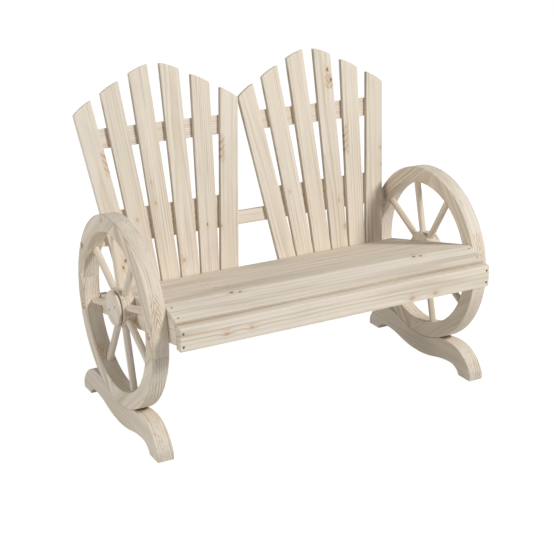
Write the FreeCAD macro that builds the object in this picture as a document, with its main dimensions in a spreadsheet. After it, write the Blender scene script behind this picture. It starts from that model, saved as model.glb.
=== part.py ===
import FreeCAD, Part
import os
import re
import Sketcher

# Wagon wheel bench in pine: two spoked wheels on scroll feet carry a sloped seat and a back of two fans.
# Origin on the floor below the middle of the bench, X along the seat, front towards -Y, Z up.

# Driving sizes in millimetres, angles in degrees, counts as whole numbers
SIZES = {
    # Whole bench
    "overall_depth": 660.0,
    "overall_height": 950.0,
    # Seat boards: four behind the crease and one dropped nose board in front of it
    "seat_width": 980.0,
    "seat_height": 430.0,
    "seat_slope": 12.8,
    "board_thickness": 18.0,
    "board_gap": 2.0,
    "board_count": 4,
    "nose_width": 75.0,
    "nose_slope": 20.2,
    "slat_clearance": 2.0,
    # Seat frame
    "apron_thickness": 26.0,
    "apron_height": 64.0,
    "apron_step": 9.0,
    "rail_thickness": 28.0,
    "rail_lip": 9.0,
    "rail_slope": 9.7,
    "rail_end_inset": 17.0,
    "bearer_thickness": 28.0,
    # Wheels
    "wheel_end_inset": 58.0,
    "wheel_lift": 62.0,
    "wheel_back": 10.0,
    "rim_width": 48.0,
    "rim_thickness": 48.0,
    "rim_ease": 2.5,
    "felloe_count": 4,
    "spoke_count": 8,
    "spoke_diameter": 20.0,
    "spoke_spacing": 6.8,
    "spoke_tenon": 12.0,
    "spoke_turn": 31.0,
    "hub_rise": 12.0,
    "hub_flats": 106.0,
    "hub_length": 37.0,
    "cap_diameter": 100.0,
    "cap_thickness": 13.0,
    "cap_ease": 3.0,
    "cap_groove": 4.0,
    "cap_boss": 64.0,
    # Feet
    "foot_length": 552.0,
    "foot_pad": 56.0,
    "toe_height": 22.0,
    "toe_run": 108.0,
    "crest_rise": 5.8,
    "saddle_half": 110.0,
    "heel_run": 42.0,
    "arch_height": 26.0,
    "wave_run": 83.0,
    "belly_height": 2.4,
    # Back
    "back_lean_angle": 14.0,
    "slat_thickness": 15.0,
    "slat_count": 6,
    "slat_tail": 65.0,
    "slat_tail_gap": 0.3,
    "fan_angle": 3.12,
    "fan_gap": 1.0,
    "fan_side_clearance": 39.6,
    "shoulder_drop": 124.0,
    "crown_rise": 5.6,
    "slat_crown": 4.5,
    "fan_rail_height": 57.0,
    "fan_rail_thickness": 20.0,
    "fan_rail_inset": 12.0,
    "upper_rail_drop": 45.0,
    "back_rail_height": 40.0,
    "back_rail_thickness": 42.0,
    # Countersunk wood screws
    "screw_head": 7.5,
    "screw_shank": 3.6,
    "screw_cone": 3.0,
    "seat_screw_length": 40.0,
    "seat_screw_inset": 14.0,
    "apron_screw_length": 45.0,
    "apron_screw_stagger": 5.0,
    "slat_screw_cover": 5.0,
    "cap_screw_length": 30.0,
    "cap_screw_spread": 24.0,
    "cap_screw_angle": 154.0,
    # Bolts through the rims and the feet
    "bolt_shank": 8.0,
    "bolt_head": 20.0,
    "bolt_head_height": 5.0,
    "seat_bolt_recess": 3.0,
    "back_bolt_recess": 9.0,
    "back_bolt_grip": 40.0,
    "back_bolt_inset": 15.5,
    "back_bolt_drop": 8.0,
    "nut_flats": 13.0,
    "nut_height": 6.5,
    "washer_diameter": 24.0,
    "washer_thickness": 2.0,
    "foot_bolt_offset": 60.0,
    "foot_bolt_recess": 10.0,
    "foot_bolt_grip": 26.0,
}

# Places of the two screws across a board, as shares of its width
BOARD_SCREW_SHARES = (0.22, 0.78)
APRON_SCREW_SHARES = (0.2, 0.76)

# Dome of a bolt head, as shares of its radius and of its height
DOME_SHARES = ((0, 1), (0.7, 0.85), (1, 0.3))

# Sizes worked out from the driving ones
WORKED = {
    "overall_width": "seat_width + 2 * (hub_length + cap_thickness)",
    "inner_face": "seat_width / 2",
    "rim_face": "inner_face + rim_thickness",
    "wheel_radius": "overall_depth / 2 - wheel_end_inset",
    "wheel_height": "wheel_radius + wheel_lift",
    "rim_inner_radius": "wheel_radius - rim_width",
    "bolt_circle": "wheel_radius - rim_width / 2",
    "spoke_plane": "inner_face + hub_length / 2",
    "spoke_start": "(spoke_diameter + spoke_spacing) / (2 * sin(180 / spoke_count))",
    "hub_height": "wheel_height + hub_rise",
    "felloe_angle": "spoke_turn - 180 / spoke_count",
    # Seat profile, from the front edge over the crease to the line where the slats rise
    "front_y": "apron_thickness - overall_depth / 2",
    "front_z": "seat_height - nose_width * sin(nose_slope)",
    "crease_y": "front_y + nose_width * cos(nose_slope)",
    "lean_sine": "sin(back_lean_angle)",
    "lean_cosine": "cos(back_lean_angle)",
    "peak_y": "overall_depth / 2 - slat_thickness * lean_cosine",
    "peak_run": "(peak_y - crease_y) * lean_cosine - (overall_height - seat_height) * lean_sine",
    "main_depth": "peak_run / cos(seat_slope - back_lean_angle)",
    "seat_line_y": "crease_y + main_depth * cos(seat_slope)",
    "seat_line_z": "seat_height - main_depth * sin(seat_slope)",
    "board_width": "(main_depth - slat_clearance - (board_count - 1) * board_gap) / board_count",
    "mitre_rise": "board_thickness * (1 / cos(nose_slope) - 1 / cos(seat_slope))",
    "mitre_run": "mitre_rise / (tan(nose_slope) + tan(seat_slope))",
    "under_y": "crease_y + mitre_run",
    "under_z": "seat_height - mitre_run * tan(seat_slope) - board_thickness / cos(seat_slope)",
    # Seat frame below the boards
    "apron_bottom": "front_z - apron_step - apron_height",
    "rail_front_low": "apron_bottom + rail_lip",
    "rail_front_high": "front_z - board_thickness / cos(nose_slope)",
    "rail_end_y": "wheel_back + wheel_radius - rail_end_inset",
    "rail_end_high": "under_z - (rail_end_y - under_y) * tan(seat_slope)",
    "rail_end_low": "rail_front_low - (rail_end_y - front_y) * tan(rail_slope)",
    "bearer_high_gap": "(seat_line_y - under_y) * lean_cosine - (seat_line_z - under_z) * lean_sine",
    "bearer_high_run": "(bearer_high_gap + slat_thickness) / cos(seat_slope - back_lean_angle)",
    "bearer_low_gap": "(seat_line_y - front_y) * lean_cosine - (seat_line_z - rail_front_low) * lean_sine",
    "bearer_low_run": "(bearer_low_gap + slat_thickness) / cos(rail_slope - back_lean_angle)",
    # Seat rail bolts, where the rail's middle line crosses the bolt circle of the rim
    "rail_mid_front": "(rail_front_low + rail_front_high) / 2",
    "rail_mid_end": "(rail_end_low + rail_end_high) / 2",
    "rail_length": "sqrt((rail_end_y - front_y) ^ 2 + (rail_mid_end - rail_mid_front) ^ 2)",
    "rail_along_y": "(rail_end_y - front_y) / rail_length",
    "rail_along_z": "(rail_mid_end - rail_mid_front) / rail_length",
    "rail_to_centre_y": "wheel_back - front_y",
    "rail_to_centre_z": "wheel_height - rail_mid_front",
    "rail_centre_run": "rail_to_centre_y * rail_along_y + rail_to_centre_z * rail_along_z",
    "rail_centre_miss": "rail_to_centre_y * rail_along_z - rail_to_centre_z * rail_along_y",
    "seat_bolt_half_run": "sqrt(bolt_circle ^ 2 - rail_centre_miss ^ 2)",
    # Back rail, set a little above the bolts that pass through the rims into its ends
    "back_line_setback": "slat_thickness + back_rail_thickness / 2",
    "back_line_y": "seat_line_y + back_line_setback * lean_cosine",
    "back_line_z": "seat_line_z - back_line_setback * lean_sine",
    "back_bolt_circle": "wheel_radius - back_bolt_inset",
    "back_centre_run": "(wheel_back - back_line_y) * lean_sine + (wheel_height - back_line_z) * lean_cosine",
    "back_centre_miss": "(wheel_back - back_line_y) * lean_cosine - (wheel_height - back_line_z) * lean_sine",
    "back_bolt_rise": "back_centre_run + sqrt(back_bolt_circle ^ 2 - back_centre_miss ^ 2)",
    "back_rail_rise": "back_bolt_rise + back_bolt_drop - back_rail_height / 2",
    # Fans of the back, measured along the slats from the seat line
    "back_rise": "(overall_height - seat_line_z) / lean_cosine",
    "shoulder_rise": "back_rise - shoulder_drop",
    "steps_to_edge": "(slat_count - 1) / 2",
    "outer_turn": "steps_to_edge * fan_angle",
    "next_turn": "outer_turn - fan_angle",
    "fan_spread": "shoulder_rise * tan(outer_turn)",
    "fan_edge": "(inner_face - fan_side_clearance - fan_gap / 2 - fan_spread) / 2",
    "tail_taper": "slat_tail * (tan(outer_turn) - tan(next_turn)) + slat_tail_gap",
    "half_slat_share": "1 / (1 / cos(outer_turn) + 1 / cos(next_turn))",
    "edge_share": "half_slat_share / cos(outer_turn)",
    "slat_pitch": "(fan_edge + tail_taper * edge_share) / (steps_to_edge + edge_share)",
    "slat_width": "2 * (slat_pitch - tail_taper) * half_slat_share",
    "slat_screw_length": "fan_rail_thickness + slat_thickness - slat_screw_cover",
    "fan_half": "fan_edge + fan_spread",
    "fan_centre": "fan_half + fan_gap / 2",
    "peak_half": "slat_pitch / 2 - slat_width / 2 / cos(fan_angle / 2) + back_rise * tan(fan_angle / 2)",
    "crown_run": "fan_half - peak_half",
    "crown_chord": "sqrt(crown_run ^ 2 + shoulder_drop ^ 2)",
    "slat_chord": "crown_chord / (slat_count / 2)",
    "slat_crown_radius": "(slat_chord ^ 2 / 4 + slat_crown ^ 2) / (2 * slat_crown)",
    "upper_rail_rise": "shoulder_rise - upper_rail_drop - fan_rail_height",
    "middle_rail_rise": "back_rail_rise + back_rail_height",
    "lower_rail_rise": "-slat_tail",
    # Feet, measured from the wheel's centre line
    "foot_half": "foot_length / 2",
    "pad_inner": "foot_half - foot_pad",
    "saddle_end": "wheel_height - sqrt(wheel_radius ^ 2 - saddle_half ^ 2)",
    "crest_height": "saddle_end + crest_rise",
    "crest_offset": "foot_half - toe_run",
    "crest_run": "crest_offset - saddle_half",
    "crest_radius": "(crest_run ^ 2 + crest_rise ^ 2) / (2 * crest_rise)",
    "toe_fall": "crest_height - toe_height",
    "toe_radius": "(toe_run ^ 2 + toe_fall ^ 2) / (2 * toe_fall)",
    "heel_radius": "(heel_run ^ 2 + arch_height ^ 2) / (2 * arch_height)",
    "arch_offset": "pad_inner - heel_run",
    "wave_offset": "arch_offset - wave_run",
    "wave_height": "belly_height + (arch_height - belly_height) * wave_offset / arch_offset",
    "wave_fall": "arch_height - wave_height",
    "arch_radius": "(wave_run ^ 2 + wave_fall ^ 2) / (2 * wave_fall)",
    "belly_radius": "wave_offset * (wave_run ^ 2 + wave_fall ^ 2) / (2 * wave_run * wave_fall)",
}

SIDES = {"left": -1, "right": 1}
NUT_SIDES = 6
X_AXIS = FreeCAD.Vector(1, 0, 0)
Y_AXIS = FreeCAD.Vector(0, 1, 0)
Z_AXIS = FreeCAD.Vector(0, 0, 1)
WORD = re.compile(r"[a-z_]+")

doc = FreeCAD.newDocument("WagonWheelBench")
nodes = {}


def full(formula, inside_worked=False):
    """Return a formula with each named size given its sheet."""

    def with_sheet(match):
        word = match.group(0)
        if word in SIZES:
            return "Sizes." + word
        if word in WORKED and not inside_worked:
            return "Worked." + word
        return word

    return WORD.sub(with_sheet, str(formula))


def fill_sheets():
    """Write the driving sizes and the worked-out sizes, each with its alias."""
    sizes = doc.addObject("Spreadsheet::Sheet", "Sizes")
    for row, (alias, number) in enumerate(SIZES.items(), start=1):
        sizes.set(f"A{row}", alias)
        sizes.set(f"B{row}", str(number))
        sizes.setAlias(f"B{row}", alias)
    worked = doc.addObject("Spreadsheet::Sheet", "Worked")
    for row, (alias, formula) in enumerate(WORKED.items(), start=1):
        worked.set(f"A{row}", alias)
        worked.set(f"B{row}", "=" + full(formula, inside_worked=True))
        worked.setAlias(f"B{row}", alias)
    doc.recompute()


def value(formula):
    """Return a formula's present number."""
    return float(doc.Worked.evalExpression(full(formula)))


def bind(thing, **formulas):
    """Tie properties of an object to formulas."""
    for name, formula in formulas.items():
        thing.setExpression(name, full(formula))


def place(thing, x="0", y="0", z="0", axis=None, turn=None):
    """Tie an object's place, and its turn about one axis, to formulas."""
    if axis is not None:
        thing.Placement = FreeCAD.Placement(FreeCAD.Vector(), FreeCAD.Rotation(axis, 1))
        thing.setExpression("Placement.Rotation.Angle", full(turn))
    thing.setExpression("Placement.Base.x", full(x))
    thing.setExpression("Placement.Base.y", full(y))
    thing.setExpression("Placement.Base.z", full(z))
    return thing


def place_on_back(thing, x, rise, depth):
    """Place an object in the leaning frame of the back: x across, rise up the slats, depth before them."""
    return place(
        thing,
        x=x,
        y=f"seat_line_y + ({rise}) * lean_sine - ({depth}) * lean_cosine",
        z=f"seat_line_z + ({rise}) * lean_cosine + ({depth}) * lean_sine",
        axis=X_AXIS,
        turn="90 - back_lean_angle",
    )


def keep(label, thing):
    """Name a finished sub-part, which becomes one file."""
    thing.Label = label
    nodes[label] = thing
    return thing


def arc_between(start, end, radius, anticlockwise):
    """Return the short arc of a radius from start to end as sketch geometry."""
    chord = end - start
    middle = (start + end) * 0.5
    reach = max(radius**2 - (chord.Length / 2) ** 2, 0) ** 0.5
    side = FreeCAD.Vector(-chord.y, chord.x, 0).normalize()
    centre = middle + side * (reach if anticlockwise else -reach)
    circle = Part.Circle(centre, Z_AXIS, radius)
    first, last = (start, end) if anticlockwise else (end, start)
    return Part.ArcOfCircle(circle, circle.parameter(first), circle.parameter(last))


def outline(body, plane_role, points):
    """Draw a closed outline on one of the body's planes.

    Each point is (across, up) for a straight edge to the next point, or (across, up, radius, anticlockwise)
    for an arc to it.
    """
    sketch = body.newObject("Sketcher::SketchObject", body.Name + "_outline")
    plane = next(feature for feature in body.Origin.OriginFeatures if feature.Role == plane_role)
    sketch.AttachmentSupport = (plane, [""])
    sketch.MapMode = "FlatFace"
    corners = [FreeCAD.Vector(value(point[0]), value(point[1]), 0) for point in points]
    ends = []
    for index, point in enumerate(points):
        start = corners[index]
        end = corners[(index + 1) % len(corners)]
        if len(point) == 2:
            sketch.addGeometry(Part.LineSegment(start, end), False)
            ends.append((1, 2))
        else:
            sketch.addGeometry(arc_between(start, end, value(point[2]), point[3]), False)
            ends.append((1, 2) if point[3] else (2, 1))
    for index, point in enumerate(points):
        following = (index + 1) % len(points)
        joint = Sketcher.Constraint("Coincident", index, ends[index][1], following, ends[following][0])
        sketch.addConstraint(joint)
        for kind, formula, number in (
            ("DistanceX", point[0], corners[index].x),
            ("DistanceY", point[1], corners[index].y),
        ):
            rule = Sketcher.Constraint(kind, -1, 1, index, ends[index][0], number)
            sketch.setExpression(f"Constraints[{sketch.addConstraint(rule)}]", full(formula))
        if len(point) > 2:
            rule = Sketcher.Constraint("Radius", index, value(point[2]))
            sketch.setExpression(f"Constraints[{sketch.addConstraint(rule)}]", full(point[2]))
    return sketch


def sawn(name, points, thickness):
    """Return a body sawn to an outline in the side view and as thick as stated along X."""
    body = doc.addObject("PartDesign::Body", name)
    pad = body.newObject("PartDesign::Pad", name + "_pad")
    pad.Profile = outline(body, "YZ_Plane", points)
    bind(pad, Length=thickness)
    return body


def turned(name, points, sweep):
    """Return a body turned about X by a sweep in degrees from a half section."""
    body = doc.addObject("PartDesign::Body", name)
    sketch = outline(body, "XY_Plane", points)
    spin = body.newObject("PartDesign::Revolution", name + "_spin")
    spin.Profile = sketch
    spin.ReferenceAxis = (sketch, ["H_Axis"])
    bind(spin, Angle=sweep)
    return body


def board(name, length, width, thickness):
    """Return a plain square-edged board."""
    box = doc.addObject("Part::Box", name)
    bind(box, Length=length, Width=width, Height=thickness)
    return box


def bored(label, blank, *tools):
    """Keep a piece with the holes for the pieces that pass through it."""
    piece = blank
    for tool in tools:
        cut = doc.addObject("Part::Cut", f"{label}_for_{tool.Name}")
        cut.Base = piece
        cut.Tool = tool
        piece = cut
    return keep(label, piece)


def group(label, shapes):
    """Keep several like fasteners as one sub-part of separate solids."""
    feature = doc.addObject("Part::Feature", label)
    feature.Shape = Part.makeCompound(shapes)
    return keep(label, feature)


def fastener(half_section, point, direction):
    """Return a turned fastener that points along a direction, from (radius, depth) points of its section."""
    corners = [FreeCAD.Vector(radius, 0, depth) for radius, depth in half_section]
    face = Part.Face(Part.makePolygon(corners + corners[:1]))
    solid = face.revolve(FreeCAD.Vector(), Z_AXIS, 360)
    solid.Placement = FreeCAD.Placement(point, FreeCAD.Rotation(Z_AXIS, direction))
    return solid


def screw_section(length):
    """Return the half section of a countersunk screw whose head is flush at depth 0."""
    head = value("screw_head / 2")
    shank = value("screw_shank / 2")
    cone = value("screw_cone")
    long = value(length)
    return [(0, 0), (head, 0), (shank, cone), (shank, long - cone), (0, long)]


def bolt_section(head_start, length):
    """Return the half section of a bolt whose domed head stands up from a depth."""
    head = value("bolt_head / 2")
    shank = value("bolt_shank / 2")
    rise = value("bolt_head_height")
    dome = [(head * across, head_start - rise * up) for across, up in DOME_SHARES]
    return dome + [(head, head_start), (shank, head_start), (shank, length), (0, length)]


def seat_point(x, run):
    """Return a point on the boards behind the crease, a run back from it."""
    y = value(f"crease_y + {run} * cos(seat_slope)")
    z = value(f"seat_height - {run} * sin(seat_slope)")
    return FreeCAD.Vector(x, y, z)


def nose_point(x, run):
    """Return a point on the nose board, a run back from its front edge."""
    y = value(f"front_y + {run} * cos(nose_slope)")
    z = value(f"front_z + {run} * sin(nose_slope)")
    return FreeCAD.Vector(x, y, z)


def back_point(x, rise, depth):
    """Return a point in the leaning frame of the back."""
    y = value(f"seat_line_y + ({rise}) * lean_sine - ({depth}) * lean_cosine")
    z = value(f"seat_line_z + ({rise}) * lean_cosine + ({depth}) * lean_sine")
    return FreeCAD.Vector(x, y, z)


def make_seat_screws():
    """Two screws at each end of each seat board, down into the side rails."""
    down_seat = FreeCAD.Vector(0, -value("sin(seat_slope)"), -value("cos(seat_slope)"))
    down_nose = FreeCAD.Vector(0, value("sin(nose_slope)"), -value("cos(nose_slope)"))
    section = screw_section("seat_screw_length")
    shapes = []
    for sign in SIDES.values():
        x = sign * value("inner_face - seat_screw_inset")
        for share in BOARD_SCREW_SHARES:
            shapes.append(fastener(section, nose_point(x, f"nose_width * {share}"), down_nose))
            for index in range(SIZES["board_count"]):
                run = f"({index} * (board_width + board_gap) + board_width * {share})"
                shapes.append(fastener(section, seat_point(x, run), down_seat))
    return group("seat_screws", shapes)


def make_apron_screws():
    """Two screws at each end of the apron, back into the side rails."""
    section = screw_section("apron_screw_length")
    shapes = []
    for sign in SIDES.values():
        x = sign * value("inner_face - seat_screw_inset + apron_screw_stagger")
        for share in APRON_SCREW_SHARES:
            z = value(f"apron_bottom + apron_height * {share}")
            point = FreeCAD.Vector(x, value("-overall_depth / 2"), z)
            shapes.append(fastener(section, point, Y_AXIS))
    return group("apron_screws", shapes)


def make_cap_screws():
    """Two screws through each hub cap."""
    section = screw_section("cap_screw_length")
    shapes = []
    for sign in SIDES.values():
        for spread in (-1, 1):
            y = value(f"wheel_back + {spread} * cap_screw_spread * cos(cap_screw_angle)")
            z = value(f"hub_height + {spread} * cap_screw_spread * sin(cap_screw_angle)")
            point = FreeCAD.Vector(sign * value("overall_width / 2"), y, z)
            shapes.append(fastener(section, point, X_AXIS * -sign))
    return group("hub_cap_screws", shapes)


def make_slat_screws():
    """One screw from behind through each rail into each slat."""
    section = screw_section("slat_screw_length")
    forward = FreeCAD.Vector(0, -value("lean_cosine"), value("lean_sine"))
    shapes = []
    for sign in SIDES.values():
        for index in range(SIZES["slat_count"]):
            step = index - (SIZES["slat_count"] - 1) / 2
            for rise in ("upper_rail_rise", "middle_rail_rise", "lower_rail_rise"):
                level = f"({rise} + fan_rail_height / 2)"
                x = value(f"{sign} * fan_centre + {step} * slat_pitch + {level} * tan({step} * fan_angle)")
                point = back_point(x, level, "-slat_thickness - fan_rail_thickness")
                shapes.append(fastener(section, point, forward))
    return group("slat_screws", shapes)


def rail_point(sign, run):
    """Return a point on the outer face of a rim, beside the seat rail's middle line."""
    y = value(f"front_y + ({run}) * rail_along_y")
    z = value(f"rail_mid_front + ({run}) * rail_along_z")
    return FreeCAD.Vector(sign * value("rim_face"), y, z)


def bolted(section, bore_depth, point, direction):
    """Return a bolt and the tool that clears its recess."""
    bolt = fastener(section, point, direction)
    recess = Part.makeCylinder(value("bolt_head / 2"), bore_depth, point, direction)
    return bolt, recess


def make_seat_bolts():
    """Bolts through the rims and the side rails, with a nut and washer inside each rail."""
    recess_depth = value("seat_bolt_recess")
    length = value("rim_thickness + rail_thickness + washer_thickness + nut_height")
    section = bolt_section(recess_depth, length)
    nut_radius = value(f"nut_flats / 2 / cos(180 / {NUT_SIDES})")
    bolts = []
    recesses = []
    nuts = []
    for sign in SIDES.values():
        inward = X_AXIS * -sign
        for end in (-1, 1):
            point = rail_point(sign, f"rail_centre_run + {end} * seat_bolt_half_run")
            bolt, recess = bolted(section, recess_depth, point, inward)
            bolts.append(bolt)
            recesses.append(recess)
            seat = point + inward * value("rim_thickness + rail_thickness")
            washer = Part.makeCylinder(value("washer_diameter / 2"), value("washer_thickness"), seat, inward)
            hexagon = [FreeCAD.Vector(nut_radius, 0, 0)]
            for corner in range(NUT_SIDES):
                hexagon.append(FreeCAD.Rotation(Z_AXIS, 360 / NUT_SIDES).multVec(hexagon[-1]))
            nut = Part.Face(Part.makePolygon(hexagon)).extrude(Z_AXIS * value("nut_height"))
            nut.Placement = FreeCAD.Placement(
                seat + inward * value("washer_thickness"), FreeCAD.Rotation(Z_AXIS, inward)
            )
            nuts.append(washer.fuse(nut).removeSplitter().cut(bolt))
    group("seat_rail_nuts", nuts)
    tool = doc.addObject("Part::Feature", "seat_bolt_recesses")
    tool.Shape = Part.makeCompound(recesses)
    return group("seat_rail_bolts", bolts), tool


def make_back_bolts():
    """Sunk bolts through the rims into the ends of the long back rail."""
    recess_depth = value("back_bolt_recess")
    section = bolt_section(recess_depth, value("rim_thickness + back_bolt_grip"))
    bolts = []
    recesses = []
    for sign in SIDES.values():
        point = back_point(sign * value("rim_face"), "back_bolt_rise", "-back_line_setback")
        bolt, recess = bolted(section, recess_depth, point, X_AXIS * -sign)
        bolts.append(bolt)
        recesses.append(recess)
    tool = doc.addObject("Part::Feature", "back_bolt_recesses")
    tool.Shape = Part.makeCompound(recesses)
    return group("back_rail_bolts", bolts), tool


def make_foot_bolts():
    """Sunk bolts up through each foot into the rim above it."""
    recess_depth = value("belly_height + foot_bolt_recess")
    saddle = value("wheel_height - sqrt(wheel_radius ^ 2 - foot_bolt_offset ^ 2)")
    section = bolt_section(recess_depth, saddle + value("foot_bolt_grip"))
    bolts = []
    recesses = []
    for sign in SIDES.values():
        for end in (-1, 1):
            x = sign * value("(inner_face + rim_face) / 2")
            point = FreeCAD.Vector(x, value(f"wheel_back + {end} * foot_bolt_offset"), 0)
            bolt, recess = bolted(section, recess_depth, point, Z_AXIS)
            bolts.append(bolt)
            recesses.append(recess)
    tool = doc.addObject("Part::Feature", "foot_bolt_recesses")
    tool.Shape = Part.makeCompound(recesses)
    return group("foot_bolts", bolts), tool


def rim_start(sign):
    """Return the formula of the lower X face of a wheel's rim."""
    return "inner_face" if sign > 0 else "-rim_face"


def make_spokes(side, sign):
    """Round spokes let into the hub and the rim, each as long as its way from the raised hub to the rim."""
    spokes = []
    for index in range(SIZES["spoke_count"]):
        turn = f"(spoke_turn + 360 / spoke_count * {index})"
        to_rim = f"sqrt(rim_inner_radius ^ 2 - (hub_rise * cos({turn})) ^ 2) - hub_rise * sin({turn})"
        spoke = doc.addObject("Part::Cylinder", f"{side}_spoke_{index + 1}")
        bind(spoke, Radius="spoke_diameter / 2", Height=f"{to_rim} + spoke_tenon - spoke_start")
        place(
            spoke,
            x=f"{sign} * spoke_plane",
            y=f"wheel_back + spoke_start * cos({turn})",
            z=f"hub_height + spoke_start * sin({turn})",
            axis=X_AXIS,
            turn=f"{turn} - 90",
        )
        spokes.append(spoke)
    wheel = doc.addObject("Part::Compound", f"{side}_spokes")
    wheel.Links = spokes
    return keep(f"{side}_spokes", wheel)


def make_felloes(side, sign, tools):
    """Rim of curved felloes with eased edges, butted end to end."""
    section = [
        ("rim_ease", "rim_inner_radius"),
        ("rim_thickness - rim_ease", "rim_inner_radius"),
        ("rim_thickness", "rim_inner_radius + rim_ease"),
        ("rim_thickness", "wheel_radius - rim_ease"),
        ("rim_thickness - rim_ease", "wheel_radius"),
        ("rim_ease", "wheel_radius"),
        ("0", "wheel_radius - rim_ease"),
        ("0", "rim_inner_radius + rim_ease"),
    ]
    for index in range(SIZES["felloe_count"]):
        label = f"{side}_felloe_{index + 1}"
        blank = turned(label + "_blank", section, "360 / felloe_count")
        turn = f"felloe_angle + 360 / felloe_count * {index}"
        place(blank, x=rim_start(sign), y="wheel_back", z="wheel_height", axis=X_AXIS, turn=turn)
        bored(label, blank, *tools)


def make_hub(side, sign, tools):
    """Eight-sided hub block with a flat under each spoke."""
    flat = "hub_flats / 2"
    corner = "hub_flats / 2 * tan(180 / spoke_count)"
    points = []
    for across, up in ((1, 1), (-1, 1), (-1, -1), (1, -1)):
        pair = [(f"{across} * {flat}", f"{up} * {corner}"), (f"{across} * {corner}", f"{up} * {flat}")]
        points += pair if across == up else pair[::-1]
    blank = sawn(f"{side}_hub_blank", points, "hub_length")
    start = "inner_face" if sign > 0 else "-inner_face - hub_length"
    place(blank, x=start, y="wheel_back", z="hub_height", axis=X_AXIS, turn="spoke_turn")
    bored(f"{side}_hub", blank, *tools)


def make_cap(side, sign, tools):
    """Turned disc held off the outer face of a hub by a smaller boss."""
    radius = "cap_diameter / 2"
    boss = "cap_boss / 2"
    section = [
        ("0", "0"),
        ("cap_thickness", "0"),
        ("cap_thickness", f"{radius} - cap_ease"),
        ("cap_thickness - cap_ease", radius),
        ("cap_groove", radius),
        ("cap_groove", boss),
        ("0", boss),
    ]
    blank = turned(f"{side}_hub_cap_blank", section, "360")
    x = f"{sign} * (overall_width / 2 - cap_thickness)"
    place(blank, x=x, y="wheel_back", z="hub_height", axis=Z_AXIS, turn="0" if sign > 0 else "180")
    bored(f"{side}_hub_cap", blank, *tools)


def make_foot(side, sign, tools):
    """Scroll foot: a saddle under the wheel, rounded toes, and a waved underside between two flat pads."""
    points = [
        ("-saddle_half", "saddle_end", "wheel_radius", True),
        ("saddle_half", "saddle_end", "crest_radius", False),
        ("crest_offset", "crest_height", "toe_radius", False),
        ("foot_half", "toe_height"),
        ("foot_half", "0"),
        ("pad_inner", "0", "heel_radius", True),
        ("arch_offset", "arch_height", "arch_radius", True),
        ("wave_offset", "wave_height", "belly_radius", False),
        ("-wave_offset", "wave_height", "arch_radius", True),
        ("-arch_offset", "arch_height", "heel_radius", True),
        ("-pad_inner", "0"),
        ("-foot_half", "0"),
        ("-foot_half", "toe_height", "toe_radius", False),
        ("-crest_offset", "crest_height", "crest_radius", False),
    ]
    blank = sawn(f"{side}_foot_blank", points, "rim_thickness")
    place(blank, x=rim_start(sign), y="wheel_back")
    bored(f"{side}_foot", blank, *tools)


def make_seat_boards(screws):
    """Nose board and the boards behind it, mitred where they meet at the crease."""
    nose = [
        ("front_y", "front_z"),
        ("front_y + board_thickness * sin(nose_slope)", "front_z - board_thickness * cos(nose_slope)"),
        ("under_y", "under_z"),
        ("crease_y", "seat_height"),
    ]
    boards = [("seat_nose_board", nose)]
    for index in range(SIZES["board_count"]):
        start = f"{index} * (board_width + board_gap)"
        end = f"({start} + board_width)"
        front_under = ("under_y", "under_z")
        if index:
            front_under = (
                f"crease_y + {start} * cos(seat_slope) - board_thickness * sin(seat_slope)",
                f"seat_height - {start} * sin(seat_slope) - board_thickness * cos(seat_slope)",
            )
        points = [
            (f"crease_y + {start} * cos(seat_slope)", f"seat_height - {start} * sin(seat_slope)"),
            front_under,
            (
                f"crease_y + {end} * cos(seat_slope) - board_thickness * sin(seat_slope)",
                f"seat_height - {end} * sin(seat_slope) - board_thickness * cos(seat_slope)",
            ),
            (f"crease_y + {end} * cos(seat_slope)", f"seat_height - {end} * sin(seat_slope)"),
        ]
        boards.append((f"seat_board_{index + 1}", points))
    for label, points in boards:
        blank = sawn(label + "_blank", points, "seat_width")
        place(blank, x="-inner_face")
        bored(label, blank, screws)


def make_seat_frame(seat_screws, apron_screws, seat_bolts):
    """Side rails against the wheels, the middle bearer and the apron across the front."""
    front = [
        ("front_y", "rail_front_low"),
        ("front_y", "rail_front_high"),
        ("under_y", "under_z"),
    ]
    tail = [("rail_end_y", "rail_end_high"), ("rail_end_y", "rail_end_low")]
    for side, sign in SIDES.items():
        label = f"{side}_seat_rail"
        blank = sawn(label + "_blank", front + tail, "rail_thickness")
        place(blank, x="inner_face - rail_thickness" if sign > 0 else "-inner_face")
        bored(label, blank, seat_screws, apron_screws, seat_bolts)
    cut_end = [
        ("under_y + bearer_high_run * cos(seat_slope)", "under_z - bearer_high_run * sin(seat_slope)"),
        ("front_y + bearer_low_run * cos(rail_slope)", "rail_front_low - bearer_low_run * sin(rail_slope)"),
    ]
    bearer = sawn("seat_bearer_blank", front + cut_end, "bearer_thickness")
    place(bearer, x="-bearer_thickness / 2")
    keep("seat_bearer", bearer)
    apron = board("front_apron_blank", "seat_width", "apron_thickness", "apron_height")
    place(apron, x="-inner_face", y="-overall_depth / 2", z="apron_bottom")
    bored("front_apron", apron, apron_screws)


def gable_point(part, hand):
    """Return a point of a fan's gable, a number of slat tops out from the peak."""
    share = f"({part} / (slat_count / 2))"
    swell = f"(4 * crown_rise * {share} * (1 - {share}))"
    across = f"{hand} * (peak_half + {share} * crown_run + {swell} * shoulder_drop / crown_chord)"
    return across, f"back_rise - {share} * shoulder_drop + {swell} * crown_run / crown_chord"


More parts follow.
